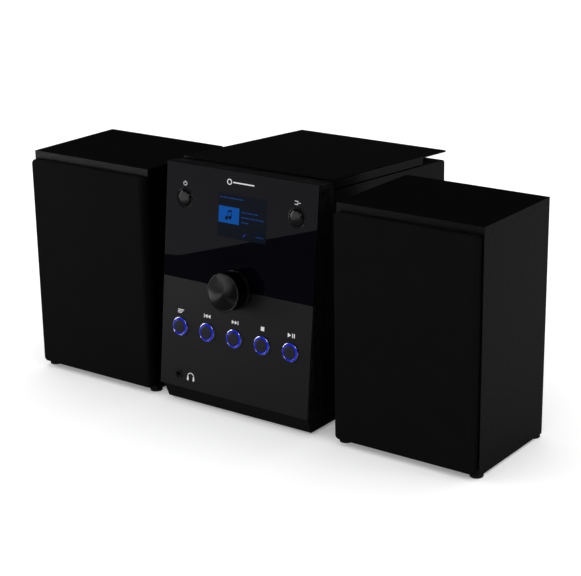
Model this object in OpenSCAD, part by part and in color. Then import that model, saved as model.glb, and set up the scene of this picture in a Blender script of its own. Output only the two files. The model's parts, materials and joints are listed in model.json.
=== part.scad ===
// Mini hifi system: a leaning-front main unit with a top-loading disc lid, and two bookshelf speakers.
// Millimetres, +Z up, front towards -Y, origin at the centre of the footprint on the shelf.

/* [Main unit] */
// Width of the leaning front slab
face_w = 172; // [160:1:190]
// Height of the front slab, measured along its slope
face_h = 214; // [200:1:230]
// Backward lean of the front slab in degrees
lean = 6.2; // [3:0.1:8]
// Thickness of the front slab, glazing included
slab_t = 23; // [20:1:26]
// Height of the slab's lower front edge above the shelf
face_z = 18.5; // [17:0.5:22]
// Distance from the slab's lower front edge to the lid's rear edge
unit_d = 237; // [225:1:245]
// Side wall thickness of the body
wall = 3; // [2.5:0.5:4]
// Height of the rubber feet
foot_h = 2.5; // [2:0.5:4]

/* [Front controls] */
// Height of the split between window and lower plate, along the slope
split_v = 105.7; // [100:0.5:112]
// Thickness of the window and of the lower plate
glaze_t = 2; // [1.5:0.5:2.5]
// Spacing of the control columns
column = 31.9; // [30:0.5:34]
// Height of the lower button row, along the slope
row_v = 59.1; // [50:0.5:70]
// Height of the power and mode buttons, along the slope
top_row_v = 181.8; // [170:0.5:190]
// Radius of a lower button's cap
cap_r = 6.6; // [5:0.1:7]
// Radius of an upper button's cap
top_cap_r = 7.3; // [6:0.1:8]
// Travel of every button
press = 0.8; // [0.5:0.1:1]
// Radius of the volume knob
knob_r = 18; // [15:0.5:20]
// How far the volume knob stands off the front
knob_h = 20; // [15:1:22]
// Bore radius of the headphone socket
jack_r = 1.8; // [1.75:0.05:1.9]

/* [Disc deck] */
// Height of the lid's top face at its front edge
lid_z = 231; // [229:0.5:233]
// Fall of the lid and deck towards the rear in degrees
fall = 3.4; // [0:0.1:5]
// Thickness of the lid plate
plate_t = 2; // [1.5:0.5:3]
// Depth of the skirt under the lid plate
skirt_h = 6.2; // [5:0.1:7]
// Length of the plate that overhangs behind the skirt
tail = 41.5; // [28:0.5:44]
// Gap between the lid's skirt and the body's rim
rim_gap = 1.4; // [1:0.1:2]
// Radius of the disc well
well_r = 61.5; // [61:0.1:62]
// Travel of the laser pickup
sled_travel = 33; // [30:1:34]

/* [Speakers] */
// Cabinet width
cab_w = 145; // [130:1:160]
// Cabinet height without feet
cab_h = 220; // [200:1:240]
// Cabinet depth without the grille
cab_d = 113; // [100:1:140]
// Cabinet board thickness
board = 9; // [8:1:12]
// Gap between the main unit and the left speaker
gap_left = 15.5; // [10:0.5:40]
// Gap between the main unit and the right speaker
gap_right = 25; // [10:0.5:40]
// Distance of the cabinet fronts behind the main unit's front edge
set_back = 12; // [5:1:20]
// Grille thickness
grille_t = 8.5; // [8:0.5:14]
// Grille inset from the cabinet's sides
grille_side = 1.8; // [1:0.1:6]
// Grille inset from the cabinet's top
grille_top = 7; // [4:0.5:10]
// Grille inset from the cabinet's bottom
grille_low = 3.3; // [2:0.1:6]
// Height of the woofer's centre on the cabinet
woofer_v = 84; // [75:1:95]
// Height of the tweeter's centre on the cabinet
tweeter_v = 174; // [165:1:180]

/* [Hidden] */
$fn = 96;
eps = 0.05;

// Main unit, front slab
knob_out = 12;
front_y = (knob_out - unit_d) / 2;
half_w = face_w / 2;
slab_back = front_y + slab_t / cos(lean) + (lid_z - face_z) * tan(lean);
frame_wall = 3;
board_d = 12;
switch_top = 10;
jack_v = 12.5;
display_u = 3;
display_v = 172.5;

// Main unit, body
body_half = half_w - 1;
body_low = 13.5;
body_top = lid_z - plate_t - skirt_h - rim_gap;
body_back = front_y + unit_d - 1;
panel_y = body_back - 10.5;
panel_t = 2.5;
floor_top = body_low + 2.5;
deck_t = 2.5;
standoff_y = [front_y + 40, front_y + 122];

// Lid
lid_front = slab_back + 0.8;
lid_back = front_y + unit_d;
skirt_back = lid_back - tail;
skirt_low = body_top + rim_gap;
skirt_wall = 3;
hinge_y = lid_back - 4.5;
hinge_z = lid_z - plate_t - 3.6;
hinge_x = 52;
pin_r = 1.5;
run = 0.05;

// Height of the plane that lies `drop` below the lid's top face, at depth y
function plane_z(y, drop) = lid_z - (y - lid_front) * tan(fall) - drop / cos(fall);
rim_drop = lid_z - body_top;
panel_top = plane_z(panel_y + panel_t, rim_drop + deck_t) - 0.2;
boss_z = panel_top - 12;

// Disc mechanism
cd_y = (lid_front + skirt_back) / 2;
well_low = body_top - 10.8;
well_floor = well_low + 2;
seat_z = well_floor + 3.2;
chassis_top = well_low - 8;
rod_z = chassis_top + 4.6;
rod_y = 20;
screw_y = -13;
screw_z = chassis_top + 2.8;
lens_x = 25;
far_wall = 74;

// Speaker drivers
cab_y = front_y + set_back;
middle = (gap_left - gap_right) / 2;
woofer_r = 52;
cone_r = 43;

// Spring-clip terminals
lever_w = 6;
lever_pitch = 10;
lever_out = 6.5;
pivot_in = 3;

// Moves its children so that the whole set is centred on the origin
module centred() { translate([middle, 0, 0]) children(); }

// Places its children on the leaning front: z runs into the unit, from the outer face
module at_face(u, v) {
    translate([0, front_y, face_z])
        rotate([-lean, 0, 0])
            translate([u, 0, v])
                rotate([-90, 0, 0])
                    children();
}

// Tilts its children with the lid and deck, about the lid's front top edge
module on_deck() {
    translate([0, lid_front, lid_z])
        rotate([-fall, 0, 0])
            translate([0, -lid_front, -lid_z])
                children();
}

// A block in the slab's own frame: u across, d into the unit, v up the slope
module slab_block(u, d, v, size_u, size_d, size_v) {
    translate([0, front_y, face_z])
        rotate([-lean, 0, 0])
            translate([u - size_u / 2, d, v])
                cube([size_u, size_d, size_v]);
}

module tube(outer, inner, h) {
    difference() {
        cylinder(r = outer, h = h);
        translate([0, 0, -1]) cylinder(r = inner, h = h + 2);
    }
}

// Extrudes an outline given in (y, z) along X, centred on x = 0
module across(width) {
    translate([-width / 2, 0, 0])
        rotate([90, 0, 90])
            linear_extrude(width)
                children();
}

function lower_columns() = [for (i = [-2:2]) i * column];
top_u = 2 * column;

// ---------- main unit: housing ----------

// Height of the tray's front lip, just under the sloping foot of the front slab
function lip_z(y) = face_z - 0.3 - (y - front_y) * tan(lean);

module base_tray() {
    front_low = front_y + 9.2;
    front_high = front_y + 4.5;
    lip_front = front_y + 2.7;
    lip_back = front_y + 22;
    back_low = body_back - 5;
    back_high = body_back - 2;
    color("dimgray")
        difference() {
            across(2 * body_half - 2)
                polygon([[front_low, foot_h], [back_low, foot_h], [back_high, body_low],
                    [lip_back, body_low], [lip_back, lip_z(lip_back)], [lip_front, lip_z(lip_front)],
                    [front_high, body_low]]);
            across(2 * body_half - 8)
                polygon([[front_low + 3, foot_h + 2.5], [back_low - 3, foot_h + 2.5],
                    [back_high - 3, body_low + 1], [front_high + 3, body_low + 1]]);
            for (i = [-3:3])
                translate([i * 16 - 3, 10, foot_h - 1]) cube([6, 50, 5]);
        }
}

module unit_feet() {
    color([0.05, 0.05, 0.05])
        for (x = [-1, 1], y = [front_y + 24, body_back - 22])
            translate([x * (body_half - 18), y, 0])
                cylinder(r = 8, h = foot_h);
}

module shell_outline() {
    front_low = front_y + slab_t / cos(lean) + (body_low - face_z) * tan(lean);
    front_high = front_y + slab_t / cos(lean) + (body_top - face_z) * tan(lean);
    polygon([[front_low + 0.2, body_low], [body_back, body_low],
        [body_back, plane_z(body_back, rim_drop) - 2],
        [body_back - 2, plane_z(body_back - 2, rim_drop)],
        [front_high + 0.2, plane_z(front_high + 0.2, rim_drop)]]);
}

module body_shell() {
    inner = 2 * (body_half - wall);
    color([0.09, 0.09, 0.09]) {
        difference() {
            across(2 * body_half) shell_outline();
            translate([-inner / 2, front_y - 10, floor_top])
                cube([inner, unit_d + 30, body_top]);
            for (i = [-3:3])
                translate([i * 16 - 3, 20, body_low - 1]) cube([6, 40, 5]);
        }
        for (x = [-1, 1], z = [floor_top, boss_z])
            shell_boss(x, z);
        for (x = [-70, 70], y = standoff_y)
            translate([x, y, floor_top - eps]) cylinder(r = 3.5, h = 14 + eps);
    }
}

// Corner boss that takes a rear panel screw
module shell_boss(side, z) {
    far = side * (body_half - wall + eps);
    near = side * (body_half - wall - 12);
    translate([min(far, near), panel_y - 9, z - (z == floor_top ? eps : 0)])
        difference() {
            cube([12 + eps, 9, 11.5]);
            translate([6, 10, 6]) rotate([90, 0, 0]) cylinder(r = 1.65, h = 9);
        }
}

function screw_places() = [for (x = [-1, 1], z = [floor_top, boss_z])
    [x * (body_half - wall - 6), z + 6]];

module rear_panel() {
    color([0.08, 0.08, 0.08])
        difference() {
            translate([-(body_half - wall - 0.2), panel_y, floor_top + 0.2])
                cube([2 * (body_half - wall - 0.2), panel_t, panel_top - floor_top - 0.2]);
            for (p = screw_places())
                translate([p[0], panel_y + panel_t + 1, p[1]])
                    rotate([90, 0, 0]) cylinder(r = 1.7, h = panel_t + 2);
            for (i = [0:8])
                translate([-36, panel_y - 1, 78 + i * 7]) cube([72, panel_t + 2, 2.5]);
            translate([-60, panel_y - 1, 32]) cube([24, panel_t + 2, 16]);
            translate([8.7, panel_y - 1, 161.7]) cube([42.6, panel_t + 2, 20.6]);
            for (x = [-58, -40, -22])
                translate([x, panel_y + panel_t + 1, 172])
                    rotate([90, 0, 0]) cylinder(r = 4.2, h = panel_t + 2);
        }
}

module case_screws() {
    color("silver")
        for (p = screw_places())
            translate([p[0], panel_y + panel_t + 1.6, p[1]])
                rotate([90, 0, 0])
                    difference() {
                        union() {
                            cylinder(r = 2.9, h = 1.6);
                            cylinder(r = 1.4, h = 1.6 + panel_t + 7);
                        }
                        translate([-2, -0.3, -1]) cube([4, 0.6, 1.8]);
                        translate([-0.3, -2, -1]) cube([0.6, 4, 1.8]);
                    }
}

module top_deck() {
    inner = body_half - wall - 0.1;
    deck_front = slab_back - rim_drop * tan(lean) + 0.9;
    deck_back = lid_front + (body_back - lid_front + rim_drop * sin(fall)) / cos(fall);
    color([0.1, 0.1, 0.1])
        on_deck() difference() {
            union() {
                across(2 * inner)
                    polygon([[deck_front, body_top - deck_t], [deck_back, body_top - deck_t],
                        [deck_back, body_top - 2], [deck_back - 2, body_top],
                        [deck_front, body_top]]);
                translate([0, cd_y, well_low]) cylinder(r = well_r + 2, h = 10);
                for (side = [-1, 1])
                    translate([side * (well_r - 1) - 11, cd_y - 16, well_low]) cube([22, 32, 10]);
                for (side = [-1, 1])
                    translate([side * hinge_x, 0, 0]) hinge_ears();
            }
            translate([0, cd_y, well_floor]) cylinder(r = well_r, h = 30);
            for (side = [-1, 1])
                translate([side * (well_r - 1) - 9, cd_y - 14, well_floor]) cube([18, 28, 30]);
            translate([0, cd_y, well_low - 1]) cylinder(r = 17, h = 5);
            translate([12, cd_y - 10.5, well_low - 1]) cube([56, 21, 5]);
        }
}

// Two ears that stand on the rear strip and hold a hinge pin
module hinge_ears() {
    for (side = [-1, 1])
        difference() {
            translate([side * 6.2 - 1.7, 0, 0])
                rotate([90, 0, 90])
                    linear_extrude(3.4)
                        difference() {
                            union() {
                                translate([hinge_y, hinge_z]) circle(r = 3);
                                translate([hinge_y - 3, body_top - eps])
                                    square([6, hinge_z - body_top + eps]);
                            }
                            translate([hinge_y, hinge_z]) circle(r = pin_r + run);
                        }
        }
}

module hinge_pins() {
    color("silver")
        on_deck() for (side = [-1, 1])
            translate([side * hinge_x - 8.5, hinge_y, hinge_z])
                rotate([0, 90, 0]) cylinder(r = pin_r, h = 17);
}

// ---------- main unit: front ----------

module fascia_frame() {
    inner_w = face_w - 8;
    color([0.03, 0.03, 0.03])
        difference() {
            slab_block(0, glaze_t, 0, face_w, slab_t - glaze_t, face_h);
            slab_block(0, glaze_t + frame_wall, 4, inner_w, slab_t, face_h - 8);
            for (u = lower_columns())
                at_face(u, row_v) cylinder(r = cap_r + 0.3, h = 10);
            for (u = [-top_u, top_u])
                at_face(u, top_row_v) cylinder(r = top_cap_r + 0.3, h = 10);
            at_face(0, split_v) cylinder(r = 5, h = 10);
            at_face(-top_u, jack_v) cylinder(r = 4.4, h = 10);
            slab_block(display_u, 0, display_v - 20, 54, 10, 40);
        }
}

module upper_window() {
    color([0.02, 0.02, 0.03])
        difference() {
            slab_block(0, 0, split_v + 0.2, face_w, glaze_t, face_h - split_v - 0.2);
            for (u = [-top_u, top_u])
                at_face(u, top_row_v) {
                    translate([0, 0, -1]) cylinder(r = top_cap_r + 0.3, h = 5);
                    translate([0, 0, -1]) tube(9.4, 8.9, 1.5);
                }
            at_face(0, split_v) translate([0, 0, -1]) cylinder(r = 5, h = 5);
        }
}

module lower_plate() {
    color([0.16, 0.16, 0.16])
        difference() {
            slab_block(0, 0, 0, face_w, glaze_t, split_v - 0.2);
            for (u = lower_columns())
                at_face(u, row_v) translate([0, 0, -1]) cylinder(r = cap_r + 2.6, h = 5);
            at_face(0, split_v) translate([0, 0, -1]) cylinder(r = 5, h = 5);
            at_face(-top_u, jack_v) translate([0, 0, -1]) cylinder(r = 4.4, h = 5);
        }
}

module display_module() {
    color([0.1, 0.3, 0.9]) {
        slab_block(display_u, glaze_t + frame_wall + 0.3, display_v - 23, 60, 4, 46);
        slab_block(display_u, glaze_t + 0.3, display_v - 19, 52, frame_wall + eps, 38);
    }
}

module front_board() {
    color("darkgreen")
        difference() {
            union() {
                slab_block(0, board_d, 24, 152, 1.6, 180);
                for (u = lower_columns())
                    slab_block(u, switch_top, row_v - 3, 6, 2.1, 6);
                for (u = [-top_u, top_u])
                    slab_block(u, switch_top, top_row_v - 3, 6, 2.1, 6);
                slab_block(0, glaze_t + frame_wall + 0.6, split_v - 8, 16, 7, 16);
                slab_block(30, board_d + 1.5, 120, 14, 3, 14);
                slab_block(-24, board_d + 1.5, 80, 20, 5, 8);
            }
            at_face(0, split_v) cylinder(r = 3 + run, h = 11);
        }
}

module headphone_jack() {
    color([0.15, 0.15, 0.15])
        difference() {
            union() {
                slab_block(-top_u, glaze_t + frame_wall + 0.4, jack_v - 6, 12, 13, 12);
                at_face(-top_u, jack_v) translate([0, 0, -0.5]) cylinder(r = 4.1, h = 7);
            }
            at_face(-top_u, jack_v) translate([0, 0, -1]) cylinder(r = jack_r, h = 15);
            at_face(-top_u, jack_v) translate([0, 0, -1]) cylinder(r = 3.1, h = 1.3);
        }
}

module button_rings() {
    color("silver")
        for (u = lower_columns())
            at_face(u, row_v) translate([0, 0, -1.3]) tube(cap_r + 2.5, cap_r + 1.5, glaze_t + 1.3);
}

module ring_lights() {
    color([0.1, 0.25, 1])
        for (u = lower_columns())
            at_face(u, row_v) translate([0, 0, -1.7]) tube(cap_r + 1.45, cap_r + 0.3, glaze_t + 1.7);
}

// A push button: cap, retaining flange behind the frame's wall, and a stem that meets the switch
module push_button(u, v, r, proud) {
    wall_back = glaze_t + frame_wall;
    at_face(u, v) {
        translate([0, 0, -proud]) cylinder(r = r, h = proud + wall_back + 0.3);
        translate([0, 0, wall_back + 0.25]) cylinder(r = r + 1.6, h = 1.2);
        cylinder(r = 2, h = switch_top - press - 0.2);
    }
}

module power_button() { color([0.05, 0.05, 0.05]) push_button(-top_u, top_row_v, top_cap_r, 1.4); }
module mode_button() { color([0.05, 0.05, 0.05]) push_button(top_u, top_row_v, top_cap_r, 1.4); }
module lower_button(i) { color([0.12, 0.12, 0.14]) push_button(lower_columns()[i], row_v, cap_r, 2.1); }
module menu_button() { lower_button(0); }
module previous_button() { lower_button(1); }
module next_button() { lower_button(2); }
module stop_button() { lower_button(3); }
module play_button() { lower_button(4); }

module volume_knob() {
    color("gray")
        at_face(0, split_v)
            rotate_extrude()
                polygon([[0, -knob_h], [knob_r - 0.6, -knob_h], [knob_r, -knob_h + 0.6],
                    [knob_r, -3.2], [knob_r - 1.2, -3.2], [knob_r - 1.2, -2.4], [knob_r, -2.4],
                    [knob_r, -1], [3, -1], [3, 8], [0, 8]]);
}

// ---------- main unit: inside ----------

module main_board() {
    low = floor_top + 14;
    color("darkgreen")
        difference() {
            union() {
                translate([-78, front_y + 34, low]) cube([156, 96, 1.6]);
                for (i = [0:3])
                    translate([-40 + i * 16, front_y + 100, low + 1.5]) cylinder(r = 6, h = 22);
                translate([30, front_y + 44, low + 1.5]) cube([28, 28, 3]);
                translate([-60, front_y + 50, low + 1.5]) cube([36, 18, 5]);
                translate([-8, front_y + 48, low + 1.5]) cube([24, 14, 10]);
            }
            for (x = [-70, 70], y = standoff_y)
                translate([x, y, low - 1]) cylinder(r = 1.4, h = 4);
        }
}

module heat_sink() {
    color("silver")
        translate([8, panel_y - 30, floor_top]) {
            translate([0, 26, 0]) cube([58, 3.5, 44]);
            for (i = [0:7])
                translate([i * 8, 2, 0]) cube([2, 24 + eps, 44]);
        }
}

module transformer() {
    color([0.3, 0.2, 0.1]) {
        translate([-70, panel_y - 68, floor_top]) cube([52, 40, 44]);
        translate([-62, panel_y - 74, floor_top + 8]) cube([36, 52, 28]);
    }
}

// Disc mechanism parts are drawn about the spindle's axis
module at_spindle() { on_deck() translate([0, cd_y, 0]) children(); }

module cd_chassis() {
    color([0.2, 0.2, 0.2])
        at_spindle()
            difference() {
                union() {
                    translate([-44, -32, chassis_top - 2.5]) cube([122, 64, 2.5]);
                    for (x = [-38, 70], y = [-27, 27])
                        translate([x, y, chassis_top - eps]) cylinder(r = 3, h = 8 + eps);
                    for (y = [-rod_y, rod_y])
                        translate([2, y - 4, chassis_top - eps]) cube([4, 8, 7.4]);
                    translate([far_wall, -24, chassis_top - eps]) cube([4, 48, 7.4]);
                }
                translate([8, -17.5, chassis_top - 3]) cube([64, 35, 4]);
                translate([-25.5, screw_y - 6, chassis_top - 3]) cube([23, 12, 4]);
                translate([0, 0, chassis_top - 3]) cylinder(r = 1.8, h = 4);
                for (y = [-rod_y, rod_y])
                    translate([0, y, rod_z]) rotate([0, 90, 0]) cylinder(r = pin_r + run, h = 80);
                translate([20, screw_y, screw_z]) rotate([0, 90, 0])
                    cylinder(r = pin_r + run, h = 60);
            }
}

module guide_rods() {
    color("silver")
        at_spindle()
            for (y = [-rod_y, rod_y])
                translate([2, y, rod_z]) rotate([0, 90, 0]) cylinder(r = pin_r, h = far_wall + 2);
}

module cd_motors() {
    color("lightgray")
        at_spindle() {
            translate([0, 0, chassis_top - 16]) cylinder(r = 11, h = 13.5);
            translate([-25, screw_y, screw_z]) rotate([0, 90, 0]) cylinder(r = 4.8, h = 20);
        }
}

module turntable() {
    color([0.15, 0.15, 0.15])
        at_spindle()
            rotate_extrude()
                polygon([[0, chassis_top - 2.3], [1, chassis_top - 2.3], [1, chassis_top + 0.6],
                    [4, chassis_top + 0.6], [4, seat_z - 2.4], [14.5, seat_z - 2.4],
                    [14.5, seat_z], [7.4, seat_z], [7.2, seat_z + 1.2], [5, seat_z + 2.2],
                    [0, seat_z + 2.2]]);
}

module pickup_sled() {
    low = chassis_top + 1;
    color([0.3, 0.3, 0.32])
        at_spindle()
            difference() {
                union() {
                    translate([lens_x - 12, -23.5, rod_z - 3]) cube([24, 7, 6]);
                    translate([lens_x - 12, -17, low]) cube([24, 34, 6.2]);
                    translate([lens_x - 12, 16.5, rod_z - 3]) cube([24, 7, 6]);
                    translate([lens_x - 8, -8, low + 6]) cube([16, 16, 4]);
                    translate([lens_x, 0, low + 9.9]) cylinder(r = 3.5, h = 1.2);
                }
                for (y = [-rod_y, rod_y])
                    translate([0, y, rod_z]) rotate([0, 90, 0]) cylinder(r = pin_r + run, h = 80);
                translate([0, screw_y, screw_z]) rotate([0, 90, 0]) cylinder(r = 2, h = 80);
            }
}

module sled_screw() {
    thread = 1.5;
    start = -4.8;
    count = 50;
    color("silver")
        at_spindle()
            translate([start, screw_y, screw_z])
                rotate([0, 90, 0])
                    rotate_extrude()
                        polygon(concat([[0, 0], [thread, 0]],
                            [for (i = [0:count - 1], k = [0:1])
                                [k == 0 ? thread : thread - 0.4, 2 + (i + k / 2) * 1.5]],
                            [[thread, 2 + count * 1.5], [thread, far_wall + 3 - start],
                                [0, far_wall + 3 - start]]));
}

// ---------- lid ----------

module lid_plate() {
    color([0.05, 0.05, 0.05])
        on_deck() translate([-half_w, lid_front, lid_z - plate_t])
            cube([face_w, lid_back - lid_front, plate_t]);
}

module lid_frame() {
    half = half_w - 0.5;
    long = skirt_back - lid_front;
    top = lid_z - plate_t;
    web = skirt_low + 0.2;
    color([0.14, 0.14, 0.14]) on_deck() {
        difference() {
            translate([-half, lid_front, skirt_low]) cube([2 * half, long, skirt_h]);
            translate([-half + skirt_wall, lid_front + skirt_wall, skirt_low - 1])
                cube([2 * (half - skirt_wall), long - 2 * skirt_wall, skirt_h + 2]);
        }
        difference() {
            translate([0, cd_y, web]) cylinder(r = 21, h = 2);
            translate([0, cd_y, web - 1]) cylinder(r = 7, h = 4);
        }
        for (side = [-1, 1]) {
            translate([side < 0 ? -half + 1 : 20, cd_y - 4, web]) cube([half - 21, 8, 3]);
            translate([-4, side < 0 ? lid_front + 1 : cd_y + 20, web])
                cube([8, long / 2 - 21, 3]);
            translate([side * hinge_x, 0, 0]) lid_arm(top);
        }
    }
}

// Arm that joins the skirt to the hinge, with its knuckle
module lid_arm(top) {
    translate([-4, 0, 0])
        rotate([90, 0, 90])
            linear_extrude(8)
                difference() {
                    union() {
                        translate([skirt_back - 1, top - 2.6])
                            square([hinge_y - skirt_back + 1, 2.6]);
                        translate([hinge_y, hinge_z]) circle(r = 3);
                        translate([hinge_y - 3, hinge_z]) square([6, top - hinge_z]);
                    }
                    translate([hinge_y, hinge_z]) circle(r = pin_r + run);
                }
}

module disc_clamp() {
    web = skirt_low + 0.2;
    color([0.6, 0.6, 0.62])
        at_spindle()
            rotate_extrude()
                polygon([[0, seat_z + 3.2], [8.4, seat_z + 3.2], [8.4, seat_z + 1.5],
                    [14, seat_z + 1.5], [14, web - 1.2], [6, web - 1.2], [6, web + 2.4],
                    [9, web + 2.4], [9, web + 4], [0, web + 4]]);
}

// ---------- rear connections ----------

module rear_sockets() {
    color([0.2, 0.2, 0.2]) {
        for (x = [-58, -40])
            translate([x, panel_y - 6, 172])
                rotate([-90, 0, 0])
                    difference() {
                        cylinder(r = 4.1, h = 15);
                        translate([0, 0, 5]) tube(3.3, 1.9, 15);
                        translate([0, 0, 5]) cylinder(r = 1.6, h = 15);
                    }
        translate([-22, panel_y - 6, 172])
            rotate([-90, 0, 0])
                difference() {
                    rotate_extrude()
                        polygon([[0, 0], [3.8, 0], [3.8, 8.55], [5.6, 8.55], [5.6, 9.55], [3.8, 9.55],
                            [3.8, 10], [4.1, 10], [4.1, 17], [0, 17]]);
                    translate([0, 0, 7]) cylinder(r = 1.3, h = 15);
                }
        difference() {
            translate([-59.7, panel_y - 14, 32.3]) cube([23.4, 18, 15.4]);
            translate([-56, panel_y - 6, 35.8]) cube([16, 20, 8.4]);
        }
        for (x = [-52, -44])
            translate([x, panel_y - 6 - eps, 40]) rotate([-90, 0, 0]) cylinder(r = 1, h = 8);
    }
}

// Block with slots for spring levers, drawn about the pivot line: y outwards, x along the row
module terminal_block(count, deep) {
    long = count * lever_pitch + 2;
    difference() {
        translate([-long / 2, -deep, -12]) cube([long, deep + pivot_in, 20]);
        for (i = [0:count - 1])
            translate([(i - (count - 1) / 2) * lever_pitch, 0, 0]) {
                translate([-lever_w / 2 - 0.3, -3, -6]) cube([lever_w + 0.6, 10, 10]);
                translate([-1.5, -3, -10.5]) cube([3, 10, 3]);
                translate([-lever_w / 2 - 1.3, 0, 0]) rotate([0, 90, 0])
                    cylinder(r = 1.25, h = lever_w + 2.6);
            }
    }
}

module spring_lever() {
    translate([-lever_w / 2, -1.6, -1.1]) cube([lever_w, lever_out + 1.6, 2.2]);
    translate([-lever_w / 2 - 1, 0, 0]) rotate([0, 90, 0]) cylinder(r = 1.2, h = lever_w + 2);
}

function lever_x(i, count) = (i - (count - 1) / 2) * lever_pitch;
unit_term = [30, panel_y + panel_t + 2, 174];

module speaker_terminals() {
    color([0.1, 0.1, 0.1]) translate(unit_term) terminal_block(4, 9);
}

module unit_lever(i) {
    color(i % 2 == 0 ? [0.1, 0.1, 0.1] : [0.8, 0.1, 0.1])
        translate([unit_term[0] + lever_x(i, 4), unit_term[1], unit_term[2]]) spring_lever();
}

// ---------- speakers ----------

// Origin of a speaker: the lower left corner of its cabinet's front face
module at_speaker(side) {
    translate([side < 0 ? -half_w - gap_left - cab_w : half_w + gap_right, cab_y, foot_h])
        children();
}

// A place on the cabinet's front face, with z running into the cabinet
module on_baffle(v) { translate([cab_w / 2, 0, v]) rotate([-90, 0, 0]) children(); }

function peg_places() = [for (x = [14, cab_w - 14], z = [14, cab_h - 18]) [x, z]];

module cabinet(side) {
    color([0.11, 0.11, 0.11])
        at_speaker(side)
            difference() {
                cube([cab_w, cab_d, cab_h]);
                translate([board, board, board])
                    cube([cab_w - 2 * board, cab_d - 2 * board, cab_h - 2 * board]);
                on_baffle(woofer_v) translate([0, 0, -1]) cylinder(r = 46.5, h = board + 2);
                on_baffle(tweeter_v) translate([0, 0, -1]) cylinder(r = 18, h = board + 2);
                translate([cab_w / 2 - 22.3, cab_d - board - 1, 100]) cube([44.6, board + 2, 36.6]);
                for (p = peg_places())
                    translate([p[0], -1, p[1]]) rotate([-90, 0, 0]) cylinder(r = 2.7, h = 8);
            }
}

// Skin, four bars and four pegs, each its own solid with a glue line between
module grille(side) {
    w = cab_w - 2 * grille_side;
    h = cab_h - grille_top - grille_low;
    rim = 3.5;
    soft = 4;
    skin = 2;
    glue = 0.05;
    deep = grille_t - skin - glue;
    color([0.07, 0.07, 0.07])
        at_speaker(side) {
            translate([grille_side, -0.3, grille_low]) {
                translate([0, -deep - glue, 0])
                    rotate([90, 0, 0])
                        linear_extrude(skin)
                            rounded(w, h, soft);
                difference() {
                    rotate([90, 0, 0])
                        linear_extrude(deep)
                            rounded(w, h, soft);
                    translate([rim, -grille_t, -1]) cube([w, grille_t + 1, h + 2]);
                }
                difference() {
                    rotate([90, 0, 0])
                        linear_extrude(deep)
                            rounded(w, h, soft);
                    translate([-rim, -grille_t, -1]) cube([w, grille_t + 1, h + 2]);
                }
                for (z = [0, h - rim])
                    translate([rim + glue, -deep, z]) cube([w - 2 * (rim + glue), deep, rim]);
            }
            for (p = peg_places())
                translate([p[0], -0.3 - deep, p[1]])
                    rotate([-90, 0, 0]) cylinder(r = 2.4, h = deep + 6);
        }
}

module rounded(w, h, r) {
    translate([r, 0]) square([w - 2 * r, h]);
    translate([0, r]) square([w, h - 2 * r]);
    for (x = [r, w - r], y = [r, h - r])
        translate([x, y]) circle(r = r);
}

module woofer_frame(side) {
    color([0.2, 0.2, 0.2])
        at_speaker(side)
            on_baffle(woofer_v)
                difference() {
                    rotate_extrude()
                        polygon([[44.8, -3], [woofer_r, -3], [woofer_r, 0], [46, 0], [46, 8],
                            [31, 36], [31, 52], [0, 52], [0, 40], [27, 36], [44.3, 7],
                            [44.3, -1.5]]);
                    for (a = [0:5])
                        rotate([0, 0, a * 60 + 30]) translate([30, -8, 12]) cube([20, 16, 18]);
                    for (a = [0:3])
                        rotate([0, 0, a * 90 + 45]) translate([48.6, 0, -4])
                            cylinder(r = 1.8, h = 5);
                }
}

module woofer_cone(side) {
    color([0.15, 0.15, 0.16])
        at_speaker(side)
            on_baffle(woofer_v)
                rotate_extrude()
                    polygon([[cone_r, 1.5], [cone_r, 0.3], [41, -2], [39, -3], [37, -2],
                        [35.5, 0.3], [15, 14], [11, 10.5], [6, 8.6], [0, 8], [0, 30], [12, 30],
                        [12, 18], [35, 2.2]]);
}

module tweeter(side) {
    color([0.25, 0.25, 0.27])
        at_speaker(side)
            on_baffle(tweeter_v)
                rotate_extrude()
                    polygon([[0, -2.5], [6, -2], [10, 0], [11, 0.6], [12, -1.2], [20, -2.2],
                        [24, -2.2], [24, -0.001], [17.6, -0.001], [17.6, 22], [0, 22]]);
}

cup_v = 118;

module terminal_cup(side) {
    color([0.1, 0.1, 0.1])
        at_speaker(side)
            translate([cab_w / 2, cab_d, cup_v]) {
                difference() {
                    union() {
                        translate([-28, 0, -24]) cube([56, 1.6, 48]);
                        translate([-22, -14, -17.7]) cube([44, 14 + eps, 36]);
                    }
                    translate([-20, -12, -15.7]) cube([40, 20, 32]);
                }
                translate([0, -5, 2]) terminal_block(2, 7.05);
            }
}

module speaker_lever(side, i) {
    color(i == 0 ? [0.1, 0.1, 0.1] : [0.8, 0.1, 0.1])
        at_speaker(side)
            translate([cab_w / 2 + lever_x(i, 2), cab_d - 5, cup_v + 2]) spring_lever();
}

module feet(side) {
    color([0.05, 0.05, 0.05])
        at_speaker(side)
            for (x = [5.5, cab_w - 5.5], y = [5.5, cab_d - 5.5])
                translate([x, y, -foot_h]) cylinder(r = 6, h = foot_h);
}

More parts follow.
